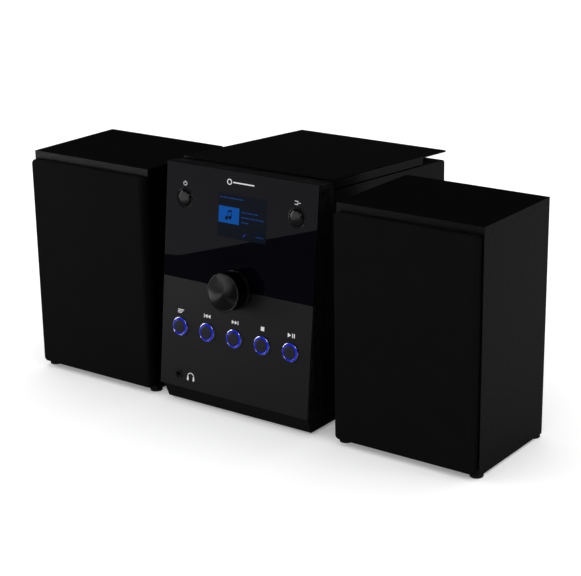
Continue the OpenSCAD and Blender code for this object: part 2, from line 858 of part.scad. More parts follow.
centred() base_tray();
centred() body_shell();
centred() rear_panel();
centred() top_deck();
centred() fascia_frame();
centred() upper_window();
centred() lower_plate();
centred() display_module();
centred() front_board();
centred() main_board();
centred() heat_sink();
centred() transformer();
centred() headphone_jack();
centred() button_rings();
centred() ring_lights();
centred() unit_feet();
centred() case_screws();
centred() rear_sockets();
centred() speaker_terminals();
centred() hinge_pins();
centred() cd_chassis();
centred() guide_rods();
centred() cd_motors();
centred() volume_knob();
centred() power_button();
centred() mode_button();
centred() menu_button();
centred() previous_button();
centred() next_button();
centred() stop_button();
centred() play_button();
centred() lid_plate();
centred() lid_frame();
centred() disc_clamp();
centred() turntable();
centred() pickup_sled();
centred() sled_screw();
centred() unit_lever(0);  // unit_lever_1
centred() unit_lever(1);  // unit_lever_2
centred() unit_lever(2);  // unit_lever_3
centred() unit_lever(3);  // unit_lever_4
centred() cabinet(-1);  // left_cabinet
centred() cabinet(1);  // right_cabinet
centred() grille(-1);  // left_grille
centred() grille(1);  // right_grille
centred() woofer_frame(-1);  // left_woofer_frame
centred() woofer_frame(1);  // right_woofer_frame
centred() woofer_cone(-1);  // left_woofer_cone
centred() woofer_cone(1);  // right_woofer_cone
centred() tweeter(-1);  // left_tweeter
centred() tweeter(1);  // right_tweeter
centred() terminal_cup(-1);  // left_terminal_cup
centred() terminal_cup(1);  // right_terminal_cup
centred() feet(-1);  // left_feet
centred() feet(1);  // right_feet
centred() speaker_lever(-1, 0);  // left_lever_black
centred() speaker_lever(-1, 1);  // left_lever_red
centred() speaker_lever(1, 0);  // right_lever_black
centred() speaker_lever(1, 1);  // right_lever_red
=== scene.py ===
"""Looks of the mini hifi system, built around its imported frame."""

from __future__ import annotations

import json
import logging
import math
from collections.abc import Callable, Iterable, Sequence
from dataclasses import dataclass, field
from enum import Enum

import bmesh
import bpy
from mathutils import Matrix, Vector

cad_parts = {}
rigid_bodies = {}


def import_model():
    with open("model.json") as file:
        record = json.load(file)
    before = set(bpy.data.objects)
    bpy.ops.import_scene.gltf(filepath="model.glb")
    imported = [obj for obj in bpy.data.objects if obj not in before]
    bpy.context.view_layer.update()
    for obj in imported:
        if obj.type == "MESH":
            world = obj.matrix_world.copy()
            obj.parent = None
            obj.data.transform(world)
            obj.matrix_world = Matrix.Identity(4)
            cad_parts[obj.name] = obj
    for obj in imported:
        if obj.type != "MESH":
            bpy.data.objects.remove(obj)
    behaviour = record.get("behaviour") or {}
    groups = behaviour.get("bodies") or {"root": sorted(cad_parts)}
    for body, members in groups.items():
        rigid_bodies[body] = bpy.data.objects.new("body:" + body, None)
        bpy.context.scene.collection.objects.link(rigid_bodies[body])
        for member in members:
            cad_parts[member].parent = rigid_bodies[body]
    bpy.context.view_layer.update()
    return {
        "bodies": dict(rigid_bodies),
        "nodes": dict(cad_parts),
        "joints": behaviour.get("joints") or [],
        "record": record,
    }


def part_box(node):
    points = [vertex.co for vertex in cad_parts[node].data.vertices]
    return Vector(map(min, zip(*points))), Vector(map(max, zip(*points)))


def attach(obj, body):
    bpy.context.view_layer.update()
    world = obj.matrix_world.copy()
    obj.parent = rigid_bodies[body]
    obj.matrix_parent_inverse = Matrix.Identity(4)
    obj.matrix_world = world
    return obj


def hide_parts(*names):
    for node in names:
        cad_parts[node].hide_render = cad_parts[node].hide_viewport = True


LOG = logging.getLogger("mini_hifi")
MM = 0.001
Point2 = tuple[float, float]
Outline = Sequence[Point2]
Triple = tuple[float, float, float]
Socket = bpy.types.NodeSocket
Node = bpy.types.Node
Tree = bpy.types.NodeTree
Thing = bpy.types.Object
BMesh = bmesh.types.BMesh


# ---------------------------------------------------------------- node boards


class NodeBoard:
    """Short hand for adding and joining nodes in one tree."""

    def __init__(self, tree: Tree) -> None:
        """Keeps the tree that nodes are added to.

        Args:
            tree: The material's, world's or group's node tree.
        """
        self.tree = tree

    def add(self, kind: str, **settings: object) -> Node:
        """Adds a node and sets its plain properties.

        Args:
            kind: The node's type name, without the "ShaderNode" in front.
            settings: Properties to set on the node.

        Returns:
            The new node.
        """
        node = self.tree.nodes.new("ShaderNode" + kind)
        for key, value in settings.items():
            setattr(node, key, value)
        return node

    def put(self, node: Node, **values: object) -> Node:
        """Sets or links a node's inputs, named with "_" for a space.

        Args:
            node: The node whose inputs are set.
            values: A constant, or an output socket to link.

        Returns:
            The same node.
        """
        for key, value in values.items():
            self.feed(node.inputs[key.replace("_", " ")], value)
        return node

    def feed(self, socket: Socket, value: object) -> None:
        """Links an output to a socket, or sets the socket's own value.

        Args:
            socket: The input socket.
            value: A constant, or an output socket.
        """
        if isinstance(value, Socket):
            self.tree.links.new(value, socket)
        else:
            socket.default_value = value

    def sum(self, operation: str, first: object, second: object = 0.5) -> Socket:
        """Adds a Math node.

        Args:
            operation: The Math node's operation.
            first: The first value or socket.
            second: The second value or socket.

        Returns:
            The node's output.
        """
        node = self.add("Math", operation=operation)
        self.feed(node.inputs[0], first)
        self.feed(node.inputs[1], second)
        return node.outputs[0]

    def times(self, first: object, second: object) -> Socket:
        """Multiplies two values or sockets."""
        return self.sum("MULTIPLY", first, second)

    def plus(self, first: object, second: object) -> Socket:
        """Adds two values or sockets."""
        return self.sum("ADD", first, second)

    def split(self, vector: Socket) -> Node:
        """Adds a node that takes a vector apart into X, Y and Z."""
        return self.put(self.add("SeparateXYZ"), Vector=vector)

    def span(
        self, value: object, low: float, high: float, to_low: float = 0.0, to_high: float = 1.0
    ) -> Socket:
        """Maps a value from one span to another and clamps it.

        Args:
            value: The socket to map.
            low: Start of the span that is read.
            high: End of the span that is read.
            to_low: Result at the start.
            to_high: Result at the end.

        Returns:
            The mapped output.
        """
        node = self.add("MapRange")
        self.feed(node.inputs["Value"], value)
        limits = {"From Min": low, "From Max": high, "To Min": to_low, "To Max": to_high}
        for key, number in limits.items():
            node.inputs[key].default_value = number
        return node.outputs["Result"]

    def tint(self, mask: object, first: object, second: object) -> Socket:
        """Mixes two colours by a mask.

        Args:
            mask: The mixing socket.
            first: Colour where the mask is 0.
            second: Colour where the mask is 1.

        Returns:
            The mixed colour.
        """
        node = self.add("Mix", data_type="RGBA")
        self.feed(node.inputs[0], mask)
        for index, value in ((6, first), (7, second)):
            socket = value if isinstance(value, Socket) else (*value, 1.0)
            self.feed(node.inputs[index], socket)
        return node.outputs[2]


def noise(
    board: NodeBoard, vector: object, scale: object, detail: float = 3.0, roughness: float = 0.55
) -> Socket:
    """Adds a noise texture.

    Args:
        board: Where the node goes.
        vector: The coordinates' socket.
        scale: Size number or socket.
        detail: Octaves.
        roughness: How strong the small octaves are.

    Returns:
        The noise value's output.
    """
    node = board.add("TexNoise")
    board.put(node, Vector=vector, Scale=scale, Detail=detail, Roughness=roughness)
    return node.outputs[0]


class GroupDraft(NodeBoard):
    """A shader node group in the making, with a Vector input and named numbers."""

    def __init__(self, name: str, outputs: Sequence[str], **inputs: float) -> None:
        """Makes the group's tree and its sockets.

        Args:
            name: The group's name.
            outputs: Names of the number outputs.
            inputs: Names of the number inputs, with their defaults.
        """
        super().__init__(bpy.data.node_groups.new(name, "ShaderNodeTree"))
        make = self.tree.interface.new_socket
        make(name="Vector", in_out="INPUT", socket_type="NodeSocketVector")
        for key, number in inputs.items():
            socket = make(name=key, in_out="INPUT", socket_type="NodeSocketFloat")
            socket.default_value = number
        for key in outputs:
            make(name=key, in_out="OUTPUT", socket_type="NodeSocketFloat")
        self.source = self.tree.nodes.new("NodeGroupInput")
        self.sink = self.tree.nodes.new("NodeGroupOutput")

    def taken(self, name: str = "Vector") -> Socket:
        """Gives one of the group's inputs."""
        return self.source.outputs[name]

    def grain(self, scale: object, detail: float = 3.0, roughness: float = 0.55) -> Socket:
        """Adds a noise texture at the group's own coordinates."""
        return noise(self, self.taken(), scale, detail, roughness)

    def clouded(self, mask: Socket, least: float, detail: float = 2.0, edge: float = 0.2) -> Socket:
        """Thins a mask out in broad soft patches.

        Args:
            mask: The mask.
            least: What is left of it where a patch is thinnest.
            detail: Octaves of the patches.
            edge: How much of the noise is cut off at its low and high end.

        Returns:
            The thinned mask.
        """
        cloud = self.grain(self.taken("Cloud"), detail)
        return self.times(mask, self.span(cloud, edge, 1.0 - edge, least, 1.0))

    def give(self, **results: Socket) -> Tree:
        """Feeds the group's outputs, and gives its tree."""
        self.put(self.sink, **results)
        return self.tree


HEIGHT_AND_MASK = ("Height", "Mask")
CREASE_BEND = 0.9 * MM
SCRATCH_STRETCH = (0.03, 1.0, 1.0)


def moulded_grain_group() -> Tree:
    """Builds the fine spark-eroded grain of moulded plastic: Height and Mask."""
    draft = GroupDraft("Moulded grain", HEIGHT_AND_MASK, Scale=2500.0, Cloud=40.0)
    fine = draft.grain(draft.taken("Scale"), 4.0, 0.7)
    mask = draft.clouded(draft.span(fine, 0.35, 0.75), 0.5, 3.0, 0.25)
    return draft.give(Height=draft.span(fine, 0.3, 0.7), Mask=mask)


def leatherette_group() -> Tree:
    """Builds pebbled leatherette: rounded cells with creases, Height and Mask."""
    draft = GroupDraft("Leatherette", HEIGHT_AND_MASK, Scale=700.0, Cloud=25.0)
    place, scale = draft.taken(), draft.taken("Scale")
    bend = draft.put(draft.add("TexNoise"), Vector=place, Scale=scale, Detail=2.0)
    shift = draft.add("VectorMath", operation="MULTIPLY_ADD")
    for index, value in enumerate((bend.outputs["Color"], (CREASE_BEND,) * 3, place)):
        draft.feed(shift.inputs[index], value)
    cells = draft.add("TexVoronoi", feature="SMOOTH_F1")
    draft.put(cells, Vector=shift.outputs[0], Scale=scale, Smoothness=0.6)
    pits = draft.grain(draft.times(scale, 2.3), 2.0)
    dome = draft.span(cells.outputs["Distance"], 0.05, 0.75, 1.0, 0.0)
    height = draft.plus(draft.times(dome, 0.8), draft.times(pits, 0.2))
    spark = draft.span(draft.times(dome, draft.span(pits, 0.45, 0.7)), 0.35, 0.75)
    return draft.give(Height=height, Mask=draft.clouded(spark, 0.4, 3.0))


def woven_group() -> Tree:
    """Builds an over-and-under weave in the X-Z plane: Height, and Mask for the threads."""
    draft = GroupDraft("Woven cloth", HEIGHT_AND_MASK, Pitch=0.0009, Cloud=30.0)
    axes = draft.split(draft.taken()).outputs
    turns = draft.sum("DIVIDE", math.tau, draft.taken("Pitch"))
    ways = [draft.times(draft.plus(axes[name], axes["Y"]), turns) for name in "XZ"]
    warp, weft = (draft.sum("ABSOLUTE", draft.sum("SINE", draft.times(way, 0.5))) for way in ways)
    over = draft.span(draft.times(*(draft.sum("SINE", way) for way in ways)), -0.4, 0.4)
    under = draft.sum("SUBTRACT", 1.0, over)
    height = draft.plus(draft.times(warp, over), draft.times(weft, under))
    fuzz = draft.times(draft.grain(4200.0, 2.0), 0.25)
    mask = draft.clouded(draft.span(height, 0.35, 0.95), 0.6)
    return draft.give(Height=draft.plus(height, fuzz), Mask=mask)


def scratched(draft: GroupDraft, lines: Socket, least: float) -> Tree:
    """Ends a group of scratches with the lines as Height and a patchy Mask of them."""
    return draft.give(Height=lines, Mask=draft.clouded(draft.span(lines, 0.35, 0.7), least))


def brushed_group() -> Tree:
    """Builds long fine scratches along local X: Height and Mask."""
    draft = GroupDraft("Brushed metal", HEIGHT_AND_MASK, Scale=900.0, Cloud=30.0)
    stretch = draft.add("VectorMath", operation="MULTIPLY")
    draft.feed(stretch.inputs[0], draft.taken())
    draft.feed(stretch.inputs[1], SCRATCH_STRETCH)
    lines = noise(draft, stretch.outputs[0], draft.taken("Scale"), 5.0, 0.7)
    return scratched(draft, lines, 0.6)


def turned_group() -> Tree:
    """Builds lathe lines in circles about local Z: Height and Mask."""
    draft = GroupDraft("Turned metal", HEIGHT_AND_MASK, Scale=2600.0, Cloud=60.0)
    axes = draft.split(draft.taken()).outputs
    squares = (draft.sum("POWER", axes[name], 2.0) for name in "XY")
    joined = draft.add("CombineXYZ")
    draft.feed(joined.inputs[0], draft.sum("SQRT", draft.plus(*squares)))
    draft.feed(joined.inputs[1], draft.times(axes["Z"], 0.5))
    lines = noise(draft, joined.outputs[0], draft.taken("Scale"), 3.0, 0.65)
    return scratched(draft, lines, 0.7)


def fibre_group() -> Tree:
    """Builds pressed paper fibre: Height and Mask."""
    draft = GroupDraft("Paper fibre", HEIGHT_AND_MASK, Scale=900.0, Cloud=60.0)
    scale = draft.taken("Scale")
    fibres = draft.add("TexVoronoi", feature="DISTANCE_TO_EDGE")
    draft.put(fibres, Vector=draft.taken(), Scale=scale)
    pulp = draft.grain(draft.times(scale, 1.7), 5.0, 0.7)
    height = draft.plus(pulp, draft.times(fibres.outputs["Distance"], 0.6))
    return draft.give(Height=height, Mask=draft.clouded(draft.span(pulp, 0.4, 0.7), 0.4, 3.0))


def edge_wear_group() -> Tree:
    """Builds rubbed edges from the surface's own convexity, broken up by noise: Mask."""
    draft = GroupDraft("Edge wear", ("Mask",), Amount=0.5)
    patch = draft.span(draft.grain(160.0, 4.0), 0.35, 0.7)
    edge = draft.span(draft.add("NewGeometry").outputs["Pointiness"], 0.52, 0.6)
    return draft.give(Mask=draft.times(draft.times(edge, patch), draft.taken("Amount")))


def dust_group() -> Tree:
    """Builds a thin film of dust on faces that look up: Mask."""
    draft = GroupDraft("Dust film", ("Mask",), Amount=0.05)
    facing = draft.split(draft.add("NewGeometry").outputs["Normal"])
    up = draft.span(facing.outputs["Z"], 0.5, 0.95)
    film = draft.span(draft.grain(90.0, 4.0), 0.4, 0.7)
    specks = draft.span(draft.grain(1600.0, 2.0), 0.62, 0.72, 0.0, 0.8)
    dusty = draft.times(up, draft.plus(film, specks))
    return draft.give(Mask=draft.times(dusty, draft.taken("Amount")))


class Surface(Enum):
    """The kinds of surface texture a finish may have."""

    MOULDED = "moulded"
    LEATHERETTE = "leatherette"
    WOVEN = "woven"
    BRUSHED = "brushed"
    TURNED = "turned"
    FIBRE = "fibre"


GROUP_MAKERS = {
    Surface.MOULDED: moulded_grain_group,
    Surface.LEATHERETTE: leatherette_group,
    Surface.WOVEN: woven_group,
    Surface.BRUSHED: brushed_group,
    Surface.TURNED: turned_group,
    Surface.FIBRE: fibre_group,
}


class GroupShelf:
    """Makes each shared node group once and hands it out."""

    def __init__(self) -> None:
        """Starts with no group made."""
        self.made: dict[Callable[[], Tree], Tree] = {}

    def take(self, maker: Callable[[], Tree]) -> Tree:
        """Gives the group that a function builds, and makes it the first time.

        Args:
            maker: The function that builds it.

        Returns:
            The group's tree.
        """
        if maker not in self.made:
            self.made[maker] = maker()
        return self.made[maker]


SHELF = GroupShelf()
WHITE = (1.0, 1.0, 1.0, 1.0)


DUST_COLOUR = (0.35, 0.34, 0.33)
DUST_ROUGHNESS = 0.6


@dataclass(frozen=True)
class Finish:
    """One finish of the hifi: a texture, its colours and how it shines."""

    name: str
    slot: str
    colour: Triple
    second: Triple
    surface: Surface = Surface.MOULDED
    scale: float = 2500.0
    cloud: float = 40.0
    relief: float = 0.25
    depth: float = 0.05 * MM
    roughness: float = 0.45
    roughness_swing: float = 0.12
    metallic: float = 0.0
    specular: float = 0.3
    coat: float = 0.0
    coat_roughness: float = 0.05
    anisotropy: float = 0.0
    wear: float = 0.3
    wear_colour: Triple = (0.12, 0.12, 0.12)
    dust: float = 0.03
    glow: Triple | None = None
    glow_strength: float = 1.0

    def material(self) -> bpy.types.Material:
        """Gives the finish's material, and builds it the first time."""
        return bpy.data.materials.get(self.name) or self.build()

    def build(self) -> bpy.types.Material:
        """Builds the material's nodes.

        Returns:
            The new material.
        """
        material = bpy.data.materials.new(self.name)
        material.use_nodes = True
        material.node_tree.nodes.clear()
        board = NodeBoard(material.node_tree)
        place = board.add("TexCoord").outputs["Object"]
        texture = board.add("Group", node_tree=SHELF.take(GROUP_MAKERS[self.surface]))
        size = "Pitch" if self.surface is Surface.WOVEN else "Scale"
        board.put(texture, Vector=place, Cloud=self.cloud, **{size: self.scale})
        mask = texture.outputs["Mask"]
        masks: list[Socket] = []
        for maker, amount in ((edge_wear_group, self.wear), (dust_group, self.dust)):
            effect = board.add("Group", node_tree=SHELF.take(maker))
            masks.append(board.put(effect, Vector=place, Amount=amount).outputs["Mask"])
        worn, dusty = masks
        colour = board.tint(mask, self.colour, self.second)
        colour = board.tint(worn, colour, self.wear_colour)
        colour = board.tint(dusty, colour, DUST_COLOUR)
        rough = board.span(mask, 0.0, 1.0, self.roughness, self.roughness + self.roughness_swing)
        rough = board.plus(rough, board.times(dusty, DUST_ROUGHNESS))
        bump = board.add("Bump")
        board.put(bump, Height=texture.outputs["Height"], Strength=self.relief, Distance=self.depth)
        shader = board.add("BsdfPrincipled")
        board.put(shader, Base_Color=colour, Roughness=rough, Normal=bump.outputs[0])
        board.put(shader, Metallic=self.metallic, Specular_IOR_Level=self.specular)
        board.put(shader, Coat_Weight=self.coat, Coat_Roughness=self.coat_roughness)
        if self.anisotropy:
            tangent = board.add("Tangent", direction_type="RADIAL", axis="Z")
            board.put(shader, Anisotropic=self.anisotropy, Tangent=tangent.outputs[0])
        if self.glow is not None:
            board.put(shader, Emission_Color=(*self.glow, 1.0))
            board.put(shader, Emission_Strength=self.glow_strength)
        board.put(board.add("OutputMaterial"), Surface=shader.outputs[0])
        return material


CLEAN = {"wear": 0.0, "dust": 0.0}
METAL = {"metallic": 1.0, "specular": 0.5, **CLEAN}
SPUN = {"surface": Surface.TURNED, "roughness_swing": 0.02, **METAL}
LIT = {"scale": 4000.0, "relief": 0.0, **CLEAN}

BODY_SATIN = Finish(
    "Body satin plastic", "body_plastic", (0.0005, 0.0005, 0.0006), (0.001, 0.001, 0.0011),
    roughness=0.3, specular=0.4, **CLEAN,
)
BASE_MATT = Finish(
    "Base moulded plastic", "base_plastic", (0.0022, 0.0022, 0.0023), (0.0045, 0.0045, 0.0047),
    roughness=0.55, **CLEAN,
)
PANEL_TEXTURE = Finish(
    "Rear panel texture", "panel_plastic", (0.003, 0.003, 0.0032), (0.01, 0.01, 0.0105),
    scale=1500.0, relief=0.5, depth=0.1 * MM, roughness=0.55, **CLEAN,
)
DECK_SATIN = Finish(
    "Deck satin plastic", "deck_plastic", (0.003, 0.003, 0.0032), (0.008, 0.008, 0.0084),
    roughness=0.42, wear=0.0,
)
FASCIA_GLOSS = Finish(
    "Fascia gloss black", "gloss_black", (0.0006, 0.0006, 0.0007), (0.0012, 0.0012, 0.0013),
    relief=0.01, roughness=0.08, roughness_swing=0.0, specular=0.35, wear=0.1, dust=0.0,
)
WINDOW_SMOKE = Finish(
    "Smoked window", "window", (0.0006, 0.0006, 0.0018), (0.0006, 0.0006, 0.0018),
    relief=0.0, roughness=0.012, roughness_swing=0.0, specular=0.13, **CLEAN,
)
CONTROL_SATIN = Finish(
    "Control plate satin", "satin_plate", (0.0045, 0.0045, 0.0047), (0.0055, 0.0055, 0.0057),
    scale=3200.0, relief=0.1, roughness=0.38, roughness_swing=0.02, specular=0.45, **CLEAN,
)
LID_POLISH = Finish(
    "Lid polished black", "lid_gloss", (0.0005, 0.0005, 0.0006), (0.0007, 0.0007, 0.0008),
    relief=0.02, roughness=0.22, roughness_swing=0.03, specular=0.4, **CLEAN,
)
KEY_GLOSS = Finish(
    "Key gloss black", "gloss_black", (0.0015, 0.0015, 0.0017), (0.003, 0.003, 0.0033),
    relief=0.03, roughness=0.1, specular=0.5, wear=0.1, dust=0.0,
)
KEY_CAP = Finish(
    "Key cap blue grey", "button_cap", (0.011, 0.012, 0.018), (0.017, 0.018, 0.026),
    relief=0.1, roughness=0.3, specular=0.35, wear=0.15, dust=0.0,
)
KEY_RING = Finish(
    "Key polished ring", "polished_metal", (0.72, 0.74, 0.78), (0.82, 0.83, 0.86),
    surface=Surface.TURNED, relief=0.05, roughness=0.2, roughness_swing=0.08, **METAL,
)
KEY_GLOW = Finish(
    "Key blue light", "blue_light", (0.004, 0.01, 0.2), (0.006, 0.016, 0.28),
    relief=0.02, roughness=0.2, specular=0.5, coat=0.1, glow=(0.002, 0.009, 0.4), **CLEAN,
)
KNOB_SPUN = Finish(
    "Knob spun face", "spun_metal", (0.05, 0.05, 0.051), (0.06, 0.06, 0.061),
    relief=0.06, roughness=0.32, anisotropy=0.95, **SPUN,
)
KNOB_SIDE = Finish(
    "Knob polished side", "spun_metal", (0.05, 0.05, 0.051), (0.06, 0.06, 0.061),
    relief=0.02, roughness=0.3, anisotropy=0.9, **SPUN,
)
# Printed white marks with a faint emission: a painted glow, since print does not shine by itself.
ICON_WHITE_PAINTED_GLOW = Finish(
    "Printed white with painted glow", "satin_plate", (0.62, 0.63, 0.64), (0.7, 0.7, 0.71),
    relief=0.03, roughness=0.5, glow=(0.6, 0.62, 0.65), glow_strength=0.05, **CLEAN,
)
SCREEN_DARK = Finish(
    "Screen ground", "display", (0.0006, 0.0007, 0.0015), (0.0006, 0.0007, 0.0015),
    roughness=0.08, specular=0.07, glow=(0.0008, 0.0025, 0.006), **LIT,
)
SCREEN_LIGHT = Finish(
    "Screen lit marks", "display", (0.002, 0.006, 0.04), (0.003, 0.008, 0.05),
    roughness=0.2, specular=0.05, glow=(0.002, 0.035, 0.16), **LIT,
)
SCREEN_BLUE = Finish(
    "Screen blue tile", "display", (0.002, 0.01, 0.05), (0.003, 0.012, 0.06),
    roughness=0.2, specular=0.03, glow=(0.001, 0.06, 0.26), **LIT,
)
SOCKET_PLASTIC = Finish(
    "Socket plastic", "socket_plastic", (0.0012, 0.0012, 0.0012), (0.0025, 0.0025, 0.0025),
    roughness=0.4, dust=0.0,
)
METAL_STEEL = Finish(
    "Plated steel", "screw_steel", (0.42, 0.42, 0.43), (0.56, 0.56, 0.57),
    surface=Surface.BRUSHED, relief=0.15, roughness=0.28, **METAL,
)
METAL_ALUMINIUM = Finish(
    "Bare aluminium", "bare_aluminium", (0.6, 0.6, 0.61), (0.72, 0.72, 0.73),
    surface=Surface.BRUSHED, relief=0.2, roughness=0.36, **METAL,
)
CORE_VARNISH = Finish(
    "Core varnish", "transformer_core", (0.09, 0.055, 0.03), (0.16, 0.1, 0.06),
    surface=Surface.BRUSHED, relief=0.5, roughness=0.35,
)
BOARD_GREEN = Finish(
    "Board solder mask", "circuit_board", (0.008, 0.07, 0.03), (0.015, 0.12, 0.05),
    scale=600.0, relief=0.1, roughness=0.3, dust=0.0,
)
FOOT_RUBBER = Finish(
    "Foot rubber", "foot_rubber", (0.002, 0.002, 0.002), (0.005, 0.005, 0.005),
    roughness=0.75, specular=0.2,
)
CLAMP_GREY = Finish(
    "Clamp grey plastic", "clamp_plastic", (0.16, 0.16, 0.17), (0.22, 0.22, 0.23), roughness=0.4
)
LEVER_BLACK = Finish(
    "Lever black", "lever_black", (0.012, 0.012, 0.012), (0.02, 0.02, 0.02),
    roughness=0.3, dust=0.0,
)
LEVER_RED = Finish(
    "Lever red", "lever_red", (0.42, 0.012, 0.012), (0.55, 0.03, 0.025), roughness=0.3, dust=0.0
)
CABINET_VINYL = Finish(
    "Cabinet leatherette", "cabinet_vinyl", (0.0004, 0.0004, 0.0005), (0.0028, 0.0028, 0.003),
    surface=Surface.LEATHERETTE, scale=620.0, relief=0.8, depth=0.18 * MM,
    roughness=0.36, roughness_swing=0.2, specular=0.42, **CLEAN,
)
GRILLE_CLOTH = Finish(
    "Grille woven cloth", "grille_cloth", (0.0018, 0.0018, 0.0019), (0.0054, 0.0054, 0.0056),
    surface=Surface.WOVEN, scale=1.1 * MM, relief=0.8, depth=0.2 * MM,
    roughness=0.85, specular=0.06, wear=0.0, dust=0.002,
)
GRILLE_FRAME = Finish(
    "Grille frame plastic", "grille_cloth", (0.002, 0.002, 0.002), (0.004, 0.004, 0.004),
    roughness=0.5,
)
BASKET_PAINT = Finish(
    "Basket paint", "basket_metal", (0.018, 0.018, 0.019), (0.03, 0.03, 0.031),
    roughness=0.35, specular=0.5,
)
CONE_PAPER = Finish(
    "Cone paper", "cone_paper", (0.022, 0.022, 0.023), (0.05, 0.05, 0.052),
    surface=Surface.FIBRE, relief=0.6, depth=0.15 * MM, roughness=0.75, specular=0.2,
)
TWEETER_PLASTIC = Finish(
    "Tweeter plate", "tweeter_plastic", (0.02, 0.02, 0.021), (0.034, 0.034, 0.035),
    surface=Surface.TURNED, relief=0.1, roughness=0.3,
)
LENS_GLASS = Finish(
    "Pickup lens", "clamp_plastic", (0.03, 0.02, 0.09), (0.05, 0.03, 0.12),
    relief=0.01, roughness=0.05, specular=0.7, coat=1.0, **CLEAN,
)


# ---------------------------------------------------------------- mesh making


ACROSS = Vector((1.0, 0.0, 0.0))
ON_AXIS = 1e-9


def in_metres(points: Outline, grow: float = 1.0) -> list[Point2]:
    """Turns an outline or a profile in millimetres into metres, and may make it larger."""
    return [(x * grow * MM, y * grow * MM) for x, y in points]


def shifted(outline: Outline, across: float) -> list[Point2]:
    """Moves an outline sideways."""
    return [(x + across, y) for x, y in outline]


def absorb(whole: BMesh, part: BMesh) -> None:
    """Adds a mesh to another one and frees it.

    Args:
        whole: The mesh that grows.
        part: The mesh that goes into it.
    """
    data = bpy.data.meshes.new("part")
    part.to_mesh(data)
    part.free()
    whole.from_mesh(data)
    bpy.data.meshes.remove(data)


def linked(name: str, data: bpy.types.ID) -> Thing:
    """Makes an object from its data and links it to the scene."""
    thing = bpy.data.objects.new(name, data)
    bpy.context.scene.collection.objects.link(thing)
    return thing


def space_at(origin: Vector, outward: Vector) -> Matrix:
    """Gives a space with X across the object, and Y up the slope of its plane.

    Args:
        origin: Where the space starts.
        outward: Its Z.

    Returns:
        The space.
    """
    space = Matrix((ACROSS, outward.cross(ACROSS), outward)).transposed().to_4x4()
    space.translation = origin
    return space


def lathe(profile: Outline, steps: int = 96) -> BMesh:
    """Turns a profile about local Z.

    Args:
        profile: Points (radius, height) in metres, in order.
        steps: Faces round the turn.

    Returns:
        The turned mesh.
    """
    mesh = bmesh.new()
    rings: list[list[bmesh.types.BMVert]] = []
    for radius, height in profile:
        if radius < ON_AXIS:
            rings.append([mesh.verts.new((0.0, 0.0, height))])
            continue
        angles = (math.tau * i / steps for i in range(steps))
        points = ((radius * math.cos(a), radius * math.sin(a), height) for a in angles)
        rings.append([mesh.verts.new(point) for point in points])
    for low, high in zip(rings, rings[1:]):
        for i in range(steps):
            j = (i + 1) % steps
            corners = [low[i % len(low)], low[j % len(low)]]
            corners += [high[j % len(high)], high[i % len(high)]]
            unique = list(dict.fromkeys(corners))
            if len(unique) > 2:
                mesh.faces.new(unique)
    bmesh.ops.recalc_face_normals(mesh, faces=mesh.faces)
    return mesh


def rounded_loop(width: float, height: float, radius: float, steps: int = 8) -> list[Point2]:
    """Gives a rounded rectangle about the origin.

    Args:
        width: Full width.
        height: Full height.
        radius: Corner radius.
        steps: Pieces in each corner.

    Returns:
        Its points, anticlockwise.
    """
    points: list[Point2] = []
    for quarter, (sx, sy) in enumerate(((1, 1), (-1, 1), (-1, -1), (1, -1))):
        for i in range(steps + 1):
            angle = math.pi / 2 * (quarter + i / steps)
            x = sx * (width / 2 - radius) + radius * math.cos(angle)
            y = sy * (height / 2 - radius) + radius * math.sin(angle)
            points.append((x, y))
    return points


def loft(loops: Sequence[Sequence[Vector]], close_start: bool = True) -> BMesh:
    """Joins loops of equal length into a skin, with a face on the last loop.

    Args:
        loops: The loops, in order.
        close_start: Whether the first loop gets a face too.

    Returns:
        The skin.
    """
    mesh = bmesh.new()
    rows = [[mesh.verts.new(point) for point in loop] for loop in loops]
    count = len(rows[0])
    for low, high in zip(rows, rows[1:]):
        for i in range(count):
            j = (i + 1) % count
            mesh.faces.new((low[i], low[j], high[j], high[i]))
    if close_start:
        mesh.faces.new(rows[0][::-1])
    mesh.faces.new(rows[-1])
    bmesh.ops.recalc_face_normals(mesh, faces=mesh.faces)
    return mesh


def plates(outlines: Iterable[Outline], low: float, high: float) -> BMesh:
    """Extrudes flat outlines from one height to another along local Z.

    Args:
        outlines: Outlines in local X and Y.
        low: Lower height.
        high: Upper height.

    Returns:
        All the plates in one mesh.
    """
    mesh = bmesh.new()
    for outline in outlines:
        bottom = [mesh.verts.new((x, y, low)) for x, y in outline]
        top = [mesh.verts.new((x, y, high)) for x, y in outline]
        mesh.faces.new(bottom[::-1])
        mesh.faces.new(top)
        for i in range(len(bottom)):
            j = (i + 1) % len(bottom)
            mesh.faces.new((bottom[i], bottom[j], top[j], top[i]))
    bmesh.ops.recalc_face_normals(mesh, faces=mesh.faces)
    return mesh


def bar(x: float, y: float, width: float, height: float) -> list[Point2]:
    """Gives a rectangle's outline about a centre."""
    left, right, low, high = x - width / 2, x + width / 2, y - height / 2, y + height / 2
    return [(left, low), (right, low), (right, high), (left, high)]


def disc(x: float, y: float, radius: float, steps: int = 24) -> list[Point2]:
    """Gives a circle's outline about a centre."""
    angles = (math.tau * i / steps for i in range(steps))
    return [(x + radius * math.cos(a), y + radius * math.sin(a)) for a in angles]


def arc_band(
    x: float, y: float, inner: float, outer: float, start: float, end: float, steps: int
) -> list[Point2]:
    """Gives the outline of a band that follows an arc.

    Args:
        x: The arc's centre across.
        y: The arc's centre up.
        inner: Inner radius.
        outer: Outer radius.
        start: First angle in degrees.
        end: Last angle in degrees.
        steps: Pieces along the arc.

    Returns:
        The outline's points.
    """
    angles = [math.radians(start + (end - start) * i / steps) for i in range(steps + 1)]
    out = [(x + outer * math.cos(a), y + outer * math.sin(a)) for a in angles]
    back = [(x + inner * math.cos(a), y + inner * math.sin(a)) for a in reversed(angles)]
    return out + back


